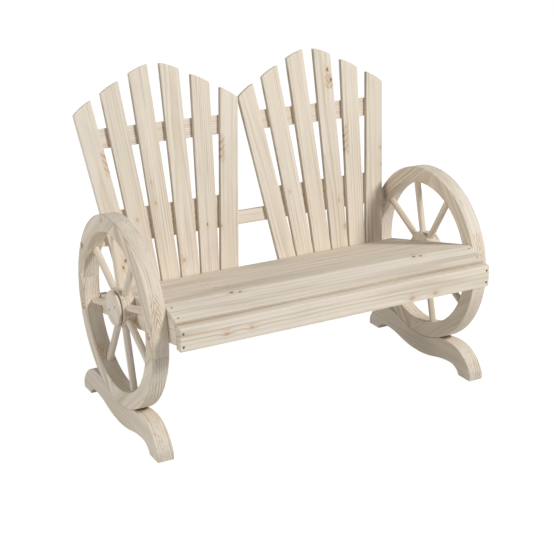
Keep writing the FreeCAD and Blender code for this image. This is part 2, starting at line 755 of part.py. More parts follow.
def make_fan(side, sign, screws):
    """One fan of slats with round tops on a crowned gable, and its upper and middle rails behind."""
    template = doc.addObject("PartDesign::Body", f"{side}_fan_template")
    edge = "(fan_edge + back_rise * tan(outer_turn))"
    points = [
        (f"-{edge}", "-slat_tail"),
        (edge, "-slat_tail"),
        (edge, "shoulder_rise"),
    ]
    tops = SIZES["slat_count"] // 2
    points += [gable_point(part, 1) + ("slat_crown_radius", True) for part in range(tops, 0, -1)]
    points.append(gable_point(0, 1))
    points += [gable_point(part, -1) + ("slat_crown_radius", True) for part in range(tops)]
    points += [gable_point(tops, -1), (f"-{edge}", "shoulder_rise")]
    pad = template.newObject("PartDesign::Pad", f"{side}_fan_template_pad")
    pad.Profile = outline(template, "XY_Plane", points)
    pad.Reversed = True
    bind(pad, Length="slat_thickness")
    for index in range(SIZES["slat_count"]):
        step = index - (SIZES["slat_count"] - 1) / 2
        turn = f"({step} * fan_angle)"
        label = f"{side}_back_slat_{index + 1}"
        blank = board(label + "_blank", "slat_width", "2 * slat_tail + back_rise", "slat_thickness")
        place(
            blank,
            x=f"{step} * slat_pitch - slat_width / 2 * cos({turn}) - 2 * slat_tail * sin({turn})",
            y=f"slat_width / 2 * sin({turn}) - 2 * slat_tail * cos({turn})",
            z="-slat_thickness",
            axis=Z_AXIS,
            turn=f"-{turn}",
        )
        slat = doc.addObject("Part::Common", label + "_sawn")
        slat.Base = blank
        slat.Tool = template
        place_on_back(slat, f"{sign} * fan_centre", "0", "0")
        bored(label, slat, screws)
    for name, rise in (("upper", "upper_rail_rise"), ("middle", "middle_rail_rise")):
        label = f"{side}_{name}_rail"
        half = f"(fan_edge + {rise} * tan(outer_turn) - fan_rail_inset)"
        rail = board(label + "_blank", f"2 * {half}", "fan_rail_height", "fan_rail_thickness")
        place_on_back(rail, f"{sign} * fan_centre - {half}", rise, "-slat_thickness - fan_rail_thickness")
        bored(label, rail, screws)


def make_cross_rails(slat_screws, back_bolts):
    """Long back rail between the wheels and the hidden lower rail between the side rails."""
    back = board("back_rail_blank", "seat_width", "back_rail_height", "back_rail_thickness")
    place_on_back(back, "-inner_face", "back_rail_rise", "-slat_thickness - back_rail_thickness")
    bored("back_rail", back, back_bolts)
    span = "(seat_width - 2 * rail_thickness)"
    lower = board("lower_rail_blank", span, "fan_rail_height", "fan_rail_thickness")
    place_on_back(lower, f"-{span} / 2", "lower_rail_rise", "-slat_thickness - fan_rail_thickness")
    bored("lower_rail", lower, slat_screws)


def check():
    """Stop if a feature failed or a sub-part has no sound solid."""
    failed = [thing.Name for thing in doc.Objects if {"Invalid", "Error"} & set(thing.State)]
    unsound = [label for label, thing in nodes.items() if thing.Shape.isNull() or not thing.Shape.isValid()]
    empty = [label for label, thing in nodes.items() if not thing.Shape.Solids]
    if failed or unsound or empty:
        raise RuntimeError(f"failed {failed}, unsound {unsound}, empty {empty}")


def main():
    """Build every sub-part and write one file for each."""
    fill_sheets()
    seat_screws = make_seat_screws()
    apron_screws = make_apron_screws()
    cap_screws = make_cap_screws()
    slat_screws = make_slat_screws()
    seat_bolts, seat_recesses = make_seat_bolts()
    back_bolts, back_recesses = make_back_bolts()
    foot_bolts, foot_recesses = make_foot_bolts()
    make_seat_boards(seat_screws)
    make_seat_frame(seat_screws, apron_screws, seat_bolts)
    for side, sign in SIDES.items():
        spokes = make_spokes(side, sign)
        rim_tools = (spokes, seat_bolts, seat_recesses, back_bolts, back_recesses, foot_bolts)
        make_felloes(side, sign, rim_tools)
        make_hub(side, sign, (spokes, cap_screws))
        make_cap(side, sign, (cap_screws,))
        make_foot(side, sign, (foot_bolts, foot_recesses))
        make_fan(side, sign, slat_screws)
    make_cross_rails(slat_screws, back_bolts)
    doc.recompute()
    check()
    os.makedirs("parts", exist_ok=True)
    whole = FreeCAD.BoundBox()
    for label, thing in nodes.items():
        thing.Shape.exportStep(f"parts/{label}.step")
        whole.add(thing.Shape.BoundBox)
    print(f"{len(nodes)} sub-parts, {whole.XLength:.2f} x {whole.YLength:.2f} x {whole.ZLength:.2f} mm")
    print(f"seat depth {value('nose_width + main_depth'):.1f} mm, fan half width {value('fan_half'):.1f} mm")


main()
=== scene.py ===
"""Wagon wheel bench: dressed pine pieces, screws and bolts in a plain studio."""

import functools
import logging
import math
import random
import zlib
from dataclasses import dataclass, field
from enum import Enum

import bmesh
import bpy
import numpy as np
from mathutils import Matrix, Vector


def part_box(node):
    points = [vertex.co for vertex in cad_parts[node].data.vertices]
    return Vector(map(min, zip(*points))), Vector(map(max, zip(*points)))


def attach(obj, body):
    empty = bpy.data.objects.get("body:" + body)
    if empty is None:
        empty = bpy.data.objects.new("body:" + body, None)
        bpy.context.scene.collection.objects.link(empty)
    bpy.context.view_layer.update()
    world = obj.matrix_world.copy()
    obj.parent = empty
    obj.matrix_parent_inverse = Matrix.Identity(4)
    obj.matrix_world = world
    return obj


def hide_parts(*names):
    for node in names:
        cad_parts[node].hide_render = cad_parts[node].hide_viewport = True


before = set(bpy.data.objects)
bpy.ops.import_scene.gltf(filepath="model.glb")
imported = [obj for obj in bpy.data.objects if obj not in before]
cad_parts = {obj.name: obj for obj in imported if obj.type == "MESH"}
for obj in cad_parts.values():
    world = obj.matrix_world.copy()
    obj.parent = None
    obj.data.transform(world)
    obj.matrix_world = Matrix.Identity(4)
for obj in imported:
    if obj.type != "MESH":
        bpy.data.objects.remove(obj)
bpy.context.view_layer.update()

LOG = logging.getLogger("bench")
BODY = "root"
SIDES = ("left", "right")
Colour = tuple[float, float, float, float]
Span = tuple[float, float]
WHITE: Colour = (1.0, 1.0, 1.0, 1.0)

# Places of sockets that share their names with others of their node
MIX_FIRST = 6
MIX_SECOND = 7
MIX_RESULT = 2
RANDOM_MOST = 3
RANDOM_RESULT = 1

# Tone curve of a screen, as its standard gives it
SCREEN_WHITE = 255
CURVE_START = 0.04045
CURVE_SLOPE = 12.92
CURVE_OFFSET = 0.055
CURVE_POWER = 2.4

# Noise: the weight of its finer steps, and how far apart the layers and the pieces read it
NOISE_ROUGHNESS = 0.55
LAYER_GAP = 7.3
SEED_SPREAD = 61.0

# Knots: the attributes that hold them, what is added to a dark one's radius, and the least radius drawn
KNOT_NAMES = ("knot_1", "knot_2", "knot_3", "knot_4")
DARK_KNOT = 1.0
SMALLEST_KNOT = 0.0002

# Where a piece's pith may lie: metres from its middle, and the tilt along the grain
PITH_NEAR = 0.03
PITH_FAR = (0.1, 0.22)
PITH_TILT = 0.01
ARCH_SHARE = 0.2
ARCH_DEPTH = 0.08
ARCH_TILT = 2

# Copies of CAD meshes: metres, degrees and shares
MERGE_GAP = 2e-5
FLAT_ANGLE = 0.6
SHARP_ANGLE = 38.0
EDGE_STEPS = 2
ROUND_PROFILE = 0.5
WIDEST_SHARE = 0.97

# Decimals of lengths and areas, and of normals, so that a close choice falls the same way each run
SIZE_DECIMALS = 6
NORMAL_DECIMALS = 2


def linear(red: int, green: int, blue: int) -> Colour:
    """Turn a colour as seen on a screen into the renderer's own.

    Args:
        red: Red from 0 to 255.
        green: Green from 0 to 255.
        blue: Blue from 0 to 255.

    Returns:
        Linear red, green, blue and an alpha of 1.
    """
    made = []
    for value in (red, green, blue):
        share = value / SCREEN_WHITE
        bent = ((share + CURVE_OFFSET) / (1 + CURVE_OFFSET)) ** CURVE_POWER
        made.append(share / CURVE_SLOPE if share <= CURVE_START else bent)
    return (*made, 1.0)


class Slot(Enum):
    """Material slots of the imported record."""

    SEAT = "pine_seat"
    BACK = "pine_back"
    WHEEL = "pine_wheel"
    FRAME = "pine_frame"
    ZINC = "zinc_steel"
    BRASS = "brass_bolt"
    DARK = "dark_steel"


class Cut(Enum):
    """How the growth rings show: as lines on the broad or narrow face, or as arches on the broad one."""

    BROAD = "lines on the broad face"
    NARROW = "lines on the narrow face"
    ARCHED = "arches on the broad face"


class Sock:
    """A node socket that takes part in sums."""

    def __init__(self, graph: "Graph", socket: bpy.types.NodeSocket) -> None:
        """Keep a socket and its graph."""
        self.graph = graph
        self.socket = socket

    def __add__(self, other: "Sock | float") -> "Sock":
        """Return this plus another."""
        return self.graph.maths("ADD", self, other)

    def __radd__(self, other: float) -> "Sock":
        """Return a number plus this."""
        return self.graph.maths("ADD", other, self)

    def __sub__(self, other: "Sock | float") -> "Sock":
        """Return this less another."""
        return self.graph.maths("SUBTRACT", self, other)

    def __rsub__(self, other: float) -> "Sock":
        """Return a number less this."""
        return self.graph.maths("SUBTRACT", other, self)

    def __mul__(self, other: "Sock | float") -> "Sock":
        """Return this times another."""
        return self.graph.maths("MULTIPLY", self, other)

    def __rmul__(self, other: float) -> "Sock":
        """Return a number times this."""
        return self.graph.maths("MULTIPLY", other, self)

    def __truediv__(self, other: "Sock | float") -> "Sock":
        """Return this divided by another."""
        return self.graph.maths("DIVIDE", self, other)

    def __rtruediv__(self, other: float) -> "Sock":
        """Return a number divided by this."""
        return self.graph.maths("DIVIDE", other, self)

    def __gt__(self, other: "Sock | float") -> "Sock":
        """Return 1 where this is the larger, and 0 elsewhere."""
        return self.graph.maths("GREATER_THAN", self, other)

    def __abs__(self) -> "Sock":
        """Return this without its sign."""
        return self.graph.maths("ABSOLUTE", self)

    def root(self) -> "Sock":
        """Return the square root."""
        return self.graph.maths("SQRT", self)

    def fraction(self) -> "Sock":
        """Return what is left after whole numbers are taken away."""
        return self.graph.maths("FRACT", self)

    def centred(self) -> "Sock":
        """Return this less a half, so that noise swings round 0."""
        return self - 0.5

    def larger(self, other: "Sock | float") -> "Sock":
        """Return the larger of two values."""
        return self.graph.maths("MAXIMUM", self, other)

    def ease(self, low: "Sock | float", high: "Sock | float") -> "Sock":
        """Return a smooth step from 0 at low to 1 at high."""
        inputs = {"Value": self, "From Min": low, "From Max": high, "To Min": 0.0, "To Max": 1.0}
        return self.graph.node("ShaderNodeMapRange", inputs=inputs, interpolation_type="SMOOTHSTEP")


class Graph:
    """A node tree under construction."""

    def __init__(self, tree: bpy.types.NodeTree) -> None:
        """Start on an emptied tree."""
        self.tree = tree
        self.tree.nodes.clear()

    def node(
        self,
        kind: str,
        output: int | str = 0,
        inputs: dict[int | str, "Sock | float | str | tuple"] | None = None,
        **settings: object,
    ) -> Sock:
        """Add a node, set it and join its inputs.

        Args:
            kind: Node type.
            output: Output to return, by place or name.
            inputs: Sockets or values for its inputs.
            **settings: Properties of the node.

        Returns:
            The asked output.
        """
        made = self.tree.nodes.new(kind)
        for name, value in settings.items():
            setattr(made, name, value)
        for key, value in (inputs or {}).items():
            if isinstance(value, Sock):
                self.tree.links.new(value.socket, made.inputs[key])
            else:
                made.inputs[key].default_value = value
        return Sock(self, made.outputs[output])

    def end(self, kind: str, result: Sock) -> None:
        """Join a result to a new output node's first input."""
        output = self.tree.nodes.new(kind)
        self.tree.links.new(result.socket, output.inputs[0])

    def others(self, sock: Sock, *names: int | str) -> list[Sock]:
        """Return more outputs of a socket's node."""
        return [Sock(self, sock.socket.node.outputs[name]) for name in names]

    def maths(self, operation: str, *values: Sock | float) -> Sock:
        """Return what a Math node makes of one, two or three values."""
        return self.node("ShaderNodeMath", inputs=dict(enumerate(values)), operation=operation)

    def attribute(self, name: str, output: str = "Vector") -> Sock:
        """Return an attribute of the mesh."""
        return self.node("ShaderNodeAttribute", output, attribute_name=name)

    def split(self, vector: Sock) -> list[Sock]:
        """Return a vector's three parts."""
        return self.others(self.node("ShaderNodeSeparateXYZ", inputs={0: vector}), 0, 1, 2)

    def join(self, x: Sock | float, y: Sock | float, z: Sock | float) -> Sock:
        """Return a vector from three parts."""
        return self.node("ShaderNodeCombineXYZ", inputs={0: x, 1: y, 2: z})

    def noise(self, vector: Sock, scale: float = 1.0, detail: float = 2.0) -> Sock:
        """Return smooth noise between 0 and 1."""
        inputs = {"Vector": vector, "Scale": scale, "Detail": detail, "Roughness": NOISE_ROUGHNESS}
        return self.node("ShaderNodeTexNoise", "Fac", inputs)

    def mix(self, share: Sock | float, first: Sock | Colour, second: Sock | Colour) -> Sock:
        """Return a colour between two others."""
        inputs = {0: share, MIX_FIRST: first, MIX_SECOND: second}
        return self.node("ShaderNodeMix", MIX_RESULT, inputs, data_type="RGBA")

    def scaled(self, colour: Sock, share: Sock) -> Sock:
        """Return a colour made darker or lighter by a share."""
        return self.node("ShaderNodeVectorMath", 0, {0: colour, "Scale": share}, operation="SCALE")

    def dot(self, first: Sock, second: Sock) -> Sock:
        """Return the dot product of two vectors."""
        return self.node("ShaderNodeVectorMath", "Value", {0: first, 1: second}, operation="DOT_PRODUCT")

    def bump(self, height: Sock, strength: float, distance: float) -> Sock:
        """Return a normal that follows a height."""
        return self.node("ShaderNodeBump", 0, {"Strength": strength, "Distance": distance, "Height": height})


def new_material(name: str) -> tuple[bpy.types.Material, Graph]:
    """Start a material.

    Args:
        name: Material name.

    Returns:
        The material and the empty graph of its nodes.
    """
    material = bpy.data.materials.new(name)
    material.use_nodes = True
    return material, Graph(material.node_tree)


@dataclass(frozen=True)
class Layer:
    """Noise stretched along the grain.

    It has a number, cycles per metre along and across the grain, finer steps, and the span of its
    values that turns into a share from 0 to 1.
    """

    number: int
    run: float
    side: float
    detail: float = 2.0
    span: Span = (0.0, 1.0)


@dataclass(frozen=True)
class Spot:
    """A point of a piece of wood in its own grain: along it, across it and out of its broad face."""

    graph: Graph
    along: Sock
    across: Sock
    out: Sock
    seed: Sock

    def noise(self, layer: Layer) -> Sock:
        """Read a layer's noise here.

        Args:
            layer: Noise to read.

        Returns:
            The noise, between 0 and 1.
        """
        apart = LAYER_GAP * layer.number
        run, side = self.along * layer.run + self.seed, self.across * layer.side + apart
        return self.graph.noise(self.graph.join(run, side, self.out * layer.side), detail=layer.detail)

    def share(self, layer: Layer) -> Sock:
        """Return where a layer's noise lies in its span, from 0 to 1."""
        return self.noise(layer).ease(*layer.span)


@dataclass(frozen=True)
class KnotStyle:
    """How knots are drawn: spans in radii of a knot, and how far the grain bends round it in metres."""

    stretch: float = 0.6
    ragged_least: float = 0.25
    ragged_swing: float = 1.5
    core: Span = (0.5, 1.1)
    heart: Span = (0.3, 0.8)
    halo: Span = (0.6, 2.2)
    halo_reach: float = 0.006


@dataclass(frozen=True)
class FeatherStyle:
    """How feathered figures are drawn: on which faces, how steep their points are, and their even tint.

    Pitch, wobble, width and shortest are in metres. Rise and fall are shares of a point, and fade is in
    shares of the figure's length.
    """

    broad: bool = False
    slope: float = 2.8
    tint: float = 0.0
    pitch: float = 0.021
    wobble: float = 0.016
    rise: Span = (0.35, 0.8)
    fall: Span = (0.86, 1.0)
    fade: Span = (0.25, 0.5)
    width: Span = (0.008, 0.017)
    shortest: float = 0.001


@dataclass(frozen=True)
class RingStyle:
    """How growth rings vary: metres, cycles per metre of radius, spans, and shares of darkness."""

    rough: float = 0.0022
    round_knot: float = 0.004
    growth_cycles: float = 38.0
    growth_detail: float = 1.0
    growth_swing: float = 0.014
    year_cycles: float = 60.0
    year_apart: float = 3.0
    year: Span = (0.25, 0.75)
    rise: Span = (0.25, 0.86)
    fall: Span = (0.88, 1.0)
    year_least: float = 0.2
    year_swing: float = 1.1
    fade_least: float = 0.35
    fade_swing: float = 0.75


@dataclass(frozen=True)
class SurfaceStyle:
    """How strongly each feature of the wood tints, shades, roughens and raises its surface."""

    own_tone: float = 0.25
    feather_tint: float = 0.7
    halo_tint: float = 0.3
    knot_tint: float = 0.58
    heart_tint: float = 0.8
    end_span: Span = (0.6, 0.95)
    end_shade: float = 0.12
    fibre_shade: float = 0.14
    piece_shade: float = 0.05
    roughness: float = 0.68
    ring_gloss: float = 0.1
    fibre_rough: float = 0.1
    patch_rough: float = 0.12
    specular: float = 0.3
    ring_height: float = 0.35
    fibre_height: float = 0.5
    heart_depth: float = 0.4
    dent_depth: float = 0.3
    bump: float = 0.28
    bump_height: float = 0.0006


@dataclass(frozen=True)
class PineFinish:
    """Unfinished pine whose rings, fibres and knots follow each piece's own grain."""

    name: str
    pale: Colour
    warm: Colour
    late: Colour
    ring_gap: float
    ring_strength: float
    line_strength: float
    wander: float
    line: Colour = linear(150, 128, 101)
    figure: Colour = linear(184, 140, 92)
    knot: Colour = linear(200, 152, 108)
    heart: Colour = linear(112, 70, 48)
    grey: Colour = linear(198, 190, 180)
    wear: float = 0.16
    knots: KnotStyle = KnotStyle()
    feather: FeatherStyle = FeatherStyle()
    rings: RingStyle = RingStyle()
    surface: SurfaceStyle = SurfaceStyle()
    fibre: Layer = Layer(1, 14.0, 700.0)
    streak: Layer = Layer(2, 1.1, 30.0, 3.0, (0.3, 0.72))
    thin_line: Layer = Layer(3, 2.4, 150.0, 3.0, (0.5, 0.72))
    patch: Layer = Layer(4, 7.0, 16.0, 4.0, (0.5, 0.75))
    dent: Layer = Layer(5, 60.0, 95.0, 1.0, (0.66, 0.8))
    bend: Layer = Layer(6, 2.1, 6.0)
    sway: Layer = Layer(7, 1.3, 5.0)
    rough: Layer = Layer(8, 9.0, 60.0, 3.0)
    fade: Layer = Layer(9, 3.0, 22.0, span=(0.3, 0.65))
    ragged: Layer = Layer(10, 150.0, 220.0, 3.0)
    wobble: Layer = Layer(11, 70.0, 150.0)

    def build(self) -> bpy.types.Material:
        """Make the material.

        Returns:
            A material that reads the mesh's grain, pith, along, piece, feather and knot attributes.
        """
        material, graph = new_material(self.name)
        surface = self.surface
        piece = graph.attribute("piece", "Fac")
        spot = Spot(graph, *graph.split(graph.attribute("grain")), piece * SEED_SPREAD)
        core, heart, halo = self._knots(spot)
        late = self._late_wood(spot, halo)
        fibre, patch = spot.noise(self.fibre), spot.noise(self.patch)
        facing = graph.dot(graph.node("ShaderNodeNewGeometry", "Normal"), graph.attribute("along"))
        tone = spot.share(self.streak) * (1 - surface.own_tone) + piece * surface.own_tone
        tints = (
            (late * self.ring_strength, self.late),
            (spot.share(self.thin_line) * self.line_strength, self.line),
            (patch.ease(*self.patch.span) * self.wear, self.grey),
            (self._feather(spot) * surface.feather_tint, self.figure),
            (halo * surface.halo_tint, self.late),
            (core * surface.knot_tint, self.knot),
            (heart * surface.heart_tint, self.heart),
        )
        body = graph.mix(tone, self.pale, self.warm)
        for share, colour in tints:
            body = graph.mix(share, body, colour)
        end = abs(facing).ease(*surface.end_span)
        shade = fibre.centred() * surface.fibre_shade + 1.0 - end * surface.end_shade
        shade = shade + piece.centred() * surface.piece_shade
        rough = surface.roughness - late * surface.ring_gloss + fibre.centred() * surface.fibre_rough
        rough = rough + patch.centred() * surface.patch_rough
        height = late * surface.ring_height + fibre * surface.fibre_height
        height = height - heart * surface.heart_depth - spot.share(self.dent) * surface.dent_depth
        shader = graph.node(
            "ShaderNodeBsdfPrincipled",
            inputs={
                "Base Color": graph.scaled(body, shade),
                "Roughness": rough,
                "Normal": graph.bump(height, surface.bump, surface.bump_height),
                "Specular IOR Level": surface.specular,
            },
        )
        graph.end("ShaderNodeOutputMaterial", shader)
        return material

    def _knots(self, spot: Spot) -> tuple[Sock, Sock, Sock]:
        """Find the knots near a spot.

        Args:
            spot: Place in the wood.

        Returns:
            How far it is inside a knot, in a dark knot's heart and in the grain round a knot.
        """
        style = self.knots
        ragged = spot.noise(self.ragged) * style.ragged_swing + style.ragged_least
        cores, hearts, halos = [], [], []
        for name in KNOT_NAMES:
            along, across, stored = spot.graph.split(spot.graph.attribute(name))
            dark = stored > DARK_KNOT / 2
            radius = stored - dark * DARK_KNOT
            here = radius > SMALLEST_KNOT
            run, side = (spot.along - along) * style.stretch, spot.across - across
            distance = (run * run + side * side).root() * ragged
            core = distance.ease(*(radius * share for share in style.core))
            heart = distance.ease(*(radius * share for share in style.heart))
            near, far = (radius * share for share in style.halo)
            cores.append(here * (1.0 - core))
            hearts.append(here * dark * (1.0 - heart))
            halos.append(here * (1.0 - distance.ease(near, far + style.halo_reach)))
        return tuple(functools.reduce(Sock.larger, shares) for shares in (cores, hearts, halos))

    def _feather(self, spot: Spot) -> Sock:
        """Find the feathered figure, which lies on the broad faces or on the narrow ones.

        Args:
            spot: Place in the wood.

        Returns:
            The share of dark wood in its stacked points.
        """
        style = self.feather
        along, across, length = spot.graph.split(spot.graph.attribute("feather"))
        run, side = spot.along - along, abs((spot.across if style.broad else spot.out) - across)
        wobble = spot.noise(self.wobble).centred() * style.wobble
        step = ((run - side * style.slope + wobble) / style.pitch).fraction()
        band = step.ease(*style.rise) * (1.0 - step.ease(*style.fall))
        fade = abs(run).ease(*(length * share for share in style.fade))
        inside = (1.0 - fade) * (1.0 - side.ease(*style.width))
        return (band * (1.0 - style.tint) + style.tint) * inside * (length > style.shortest)

    def _late_wood(self, spot: Spot, halo: Sock) -> Sock:
        """Draw rings round the pith, bent by knots and slow growth.

        Args:
            spot: Place in the wood.
            halo: How far it is in the grain round a knot.

        Returns:
            The share of dark late wood.
        """
        graph, style = spot.graph, self.rings
        pith_across, pith_out, tilt = graph.split(graph.attribute("pith"))
        lean, swing = tilt * spot.along, 2 * self.wander
        across = spot.across - pith_across - lean + spot.noise(self.bend).centred() * swing
        depth = spot.out - pith_out - lean + spot.noise(self.sway).centred() * swing
        rough = spot.noise(self.rough).centred() * style.rough
        radius = (across * across + depth * depth).root() + halo * style.round_knot + rough
        growth_place = graph.join(radius * style.growth_cycles, spot.seed, 0.0)
        growth = graph.noise(growth_place, detail=style.growth_detail).centred() * style.growth_swing
        year_place = graph.join(radius * style.year_cycles, spot.seed, style.year_apart)
        year = graph.noise(year_place, detail=0.0).ease(*style.year)
        ring = ((radius + growth) / self.ring_gap).fraction()
        line = ring.ease(*style.rise) * (1.0 - ring.ease(*style.fall))
        of_year = year * style.year_swing + style.year_least
        return line * of_year * (spot.share(self.fade) * style.fade_swing + style.fade_least)


@dataclass(frozen=True)
class MetalFinish:
    """Plated steel or brass with fine turning marks and dulled patches."""

    name: str
    bright: Colour
    dull: Colour
    roughness: float = 0.36
    patch_cycles: float = 320.0
    patch_detail: float = 3.0
    patch_span: Span = (0.35, 0.7)
    patch_rough: float = 0.25
    mark_cycles: float = 2400.0
    mark_detail: float = 1.0
    mark_strength: float = 0.12
    mark_depth: float = 0.0002

    def build(self) -> bpy.types.Material:
        """Make the material.

        Returns:
            A metal that varies in object space.
        """
        material, graph = new_material(self.name)
        spot = graph.node("ShaderNodeTexCoord", "Object")
        patch = graph.noise(spot, self.patch_cycles, self.patch_detail)
        marks = graph.noise(spot, self.mark_cycles, self.mark_detail)
        shader = graph.node(
            "ShaderNodeBsdfPrincipled",
            inputs={
                "Base Color": graph.mix(patch.ease(*self.patch_span), self.bright, self.dull),
                "Metallic": 1.0,
                "Roughness": self.roughness + patch.centred() * self.patch_rough,
                "Normal": graph.bump(marks, self.mark_strength, self.mark_depth),
            },
        )
        graph.end("ShaderNodeOutputMaterial", shader)
        return material


@dataclass
class Finishes:
    """One material for each slot of the record."""

    made: dict[Slot, bpy.types.Material] = field(default_factory=dict)

    def build(self) -> None:
        """Make every material."""
        tones = (linear(240, 231, 217), linear(229, 216, 197), linear(206, 186, 158))
        finishes = {
            Slot.SEAT: PineFinish(
                "pine_seat",
                *tones,
                ring_gap=0.013,
                ring_strength=0.6,
                line_strength=0.28,
                wander=0.012,
                thin_line=Layer(3, 2.4, 38.0, 1.0, (0.5, 0.72)),
            ),
            Slot.BACK: PineFinish(
                "pine_back",
                *tones,
                ring_gap=0.0068,
                ring_strength=0.55,
                line_strength=0.26,
                wander=0.008,
                feather=FeatherStyle(broad=True, slope=1.3, tint=0.35),
            ),
            Slot.WHEEL: PineFinish(
                "pine_wheel", *tones, ring_gap=0.0075, ring_strength=0.75, line_strength=0.2, wander=0.008
            ),
            Slot.FRAME: PineFinish(
                "pine_frame", *tones, ring_gap=0.0085, ring_strength=0.8, line_strength=0.26, wander=0.006
            ),
            Slot.ZINC: MetalFinish(
                "zinc_steel", bright=linear(160, 143, 116), dull=linear(104, 90, 70), roughness=0.5
            ),
            Slot.BRASS: MetalFinish("brass_bolt", bright=linear(178, 155, 118), dull=linear(118, 97, 69)),
            Slot.DARK: MetalFinish(
                "dark_steel", bright=linear(104, 84, 62), dull=linear(64, 50, 36), roughness=0.45
            ),
        }
        for slot, finish in finishes.items():
            self.made[slot] = finish.build()


@dataclass(frozen=True)
class Knot:
    """A knot's place along and across the grain from the piece's middle, and its radius, in metres."""

    along: float
    across: float
    radius: float
    dark: bool = False

    def stored(self) -> tuple[float, float, float]:
        """Return the knot as its attribute holds it, a dark one with DARK_KNOT added to its radius."""
        return (self.along, self.across, self.radius + (DARK_KNOT if self.dark else 0.0))


@dataclass(frozen=True)
class Feather:
    """A feathered figure's middle along the grain and across its face, and its length, in metres."""

    along: float = 0.0
    across: float = 0.0
    length: float = 0.0

    def stored(self) -> tuple[float, float, float]:
        """Return the figure as its attribute holds it."""
        return (self.along, self.across, self.length)


@dataclass
class Grain:
    """The way a piece's fibres run, where its tree's pith lay, and what stands out in its figure."""

    along: Vector
    out: Vector
    pith: tuple[float, float, float]
    piece: float
    knots: tuple[Knot, ...] = ()
    feather: Feather = Feather()

    @classmethod
    def of_tree(cls, name: str, along: Vector, out: Vector, cut: Cut = Cut.BROAD) -> "Grain":
        """Pick a pith and tone for a piece by its name.

        Args:
            name: Piece name, which seeds the choice.
            along: Direction of the fibres.
            out: Direction out of the piece's broad face.
            cut: Face that shows the growth rings as lines.

        Returns:
            The grain.
        """
        chance = random.Random(zlib.crc32(name.encode()))
        near, far = chance.uniform(-PITH_NEAR, PITH_NEAR), chance.uniform(*PITH_FAR)
        tilt = chance.uniform(-PITH_TILT, PITH_TILT)
        if cut is Cut.ARCHED:
            pith = (near, far * ARCH_SHARE - ARCH_DEPTH, tilt * ARCH_TILT)
        else:
            pith = (far, near, tilt) if cut is Cut.BROAD else (near, -far, tilt)
        return cls(along.normalized(), out.normalized(), pith, chance.random())

    def write(self, mesh: bpy.types.Mesh, points: np.ndarray, chosen: np.ndarray) -> None:
        """Store the grain on chosen vertices.

        Args:
            mesh: Mesh to write on.
            points: All vertex places.
            chosen: Which vertices belong to this piece of wood.
        """
        across = self.out.cross(self.along).normalized()
        out = self.along.cross(across).normalized()
        centre = (points[chosen].min(0) + points[chosen].max(0)) / 2
        rows = {
            "grain": (points[chosen] - centre) @ np.array([self.along, across, out]).T,
            "pith": self.pith,
            "along": self.along,
            "feather": self.feather.stored(),
        }
        for name, knot in zip(KNOT_NAMES, self.knots):
            rows[name] = knot.stored()
        for name, values in rows.items():
            self._store(mesh, name, "FLOAT_VECTOR", "vector", 3, chosen, values)
        self._store(mesh, "piece", "FLOAT", "value", 1, chosen, self.piece)

    @staticmethod
    def _store(
        mesh: bpy.types.Mesh, name: str, kind: str, part: str, width: int, chosen: np.ndarray, values: object
    ) -> None:
        """Write one attribute on chosen vertices and leave it on the others as it is.

        Args:
            mesh: Mesh to write on.
            name: Attribute name.
            kind: Attribute type.
            part: What Blender calls its values.
            width: Numbers for each vertex.
            chosen: Which vertices are written.
            values: One row for all of these, or one for each.
        """
        store = mesh.attributes.get(name) or mesh.attributes.new(name, kind, "POINT")
        flat = np.zeros(len(chosen) * width, np.float32)
        store.data.foreach_get(part, flat)
        table = flat.reshape(-1, width)
        table[chosen] = values
        store.data.foreach_set(part, table.ravel())


def places(mesh: bpy.types.Mesh) -> np.ndarray:
    """Read where a mesh's vertices are.

    Args:
        mesh: Mesh to read.

    Returns:
        One row for each vertex.
    """
    flat = np.zeros(len(mesh.vertices) * 3, np.float32)
    mesh.vertices.foreach_get("co", flat)
    return flat.reshape(-1, 3).astype(float)


def islands(mesh: bpy.types.Mesh) -> list[np.ndarray]:
    """Tell a mesh's separate solids apart.

    Args:
        mesh: Mesh to read.

    Returns:
        A mask of the vertices of each solid, in a steady order.
    """
    parent = list(range(len(mesh.vertices)))

    def top(index: int) -> int:
        """Follow a vertex to the one that stands for its solid.

        Args:
            index: Vertex to start from.

        Returns:
            The vertex that stands for the solid.
        """
        while parent[index] != index:
            parent[index] = parent[parent[index]]
            index = parent[index]
        return index

    for edge in mesh.edges:
        first, second = (top(vertex) for vertex in edge.vertices)
        parent[max(first, second)] = min(first, second)
    owners = np.array([top(index) for index in range(len(parent))])
    return [owners == owner for owner in sorted(set(owners.tolist()))]


def merged(node: str) -> bmesh.types.BMesh:
    """Copy a node's mesh with its loose triangles joined and its flats dissolved.

    Args:
        node: CAD node.

    Returns:
        The copy.
    """
    made = bmesh.new()
    made.from_mesh(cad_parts[node].data)
    bmesh.ops.remove_doubles(made, verts=made.verts, dist=MERGE_GAP)
    flat = math.radians(FLAT_ANGLE)
    bmesh.ops.dissolve_limit(made, angle_limit=flat, verts=made.verts, edges=made.edges)
    bmesh.ops.recalc_face_normals(made, faces=made.faces)
    return made


def bevel(shape: bmesh.types.BMesh, width: float, angle: float, shortest: float = 0.0) -> None:
    """Round off the outer edges of a mesh.

    Args:
        shape: Mesh to change.
        width: Width of the rounding.
        angle: Smallest angle in degrees between two faces whose edge is rounded.
        shortest: Shortest edge that is rounded.
    """
    chosen = [
        edge
        for edge in shape.edges
        if edge.is_manifold
        and edge.is_convex
        and edge.calc_length() > shortest
        and edge.calc_face_angle(0.0) > math.radians(angle)
    ]
    bmesh.ops.bevel(
        shape,
        geom=chosen,
        offset=width,
        segments=EDGE_STEPS,
        profile=ROUND_PROFILE,
        affect="EDGES",
        clamp_overlap=True,
    )


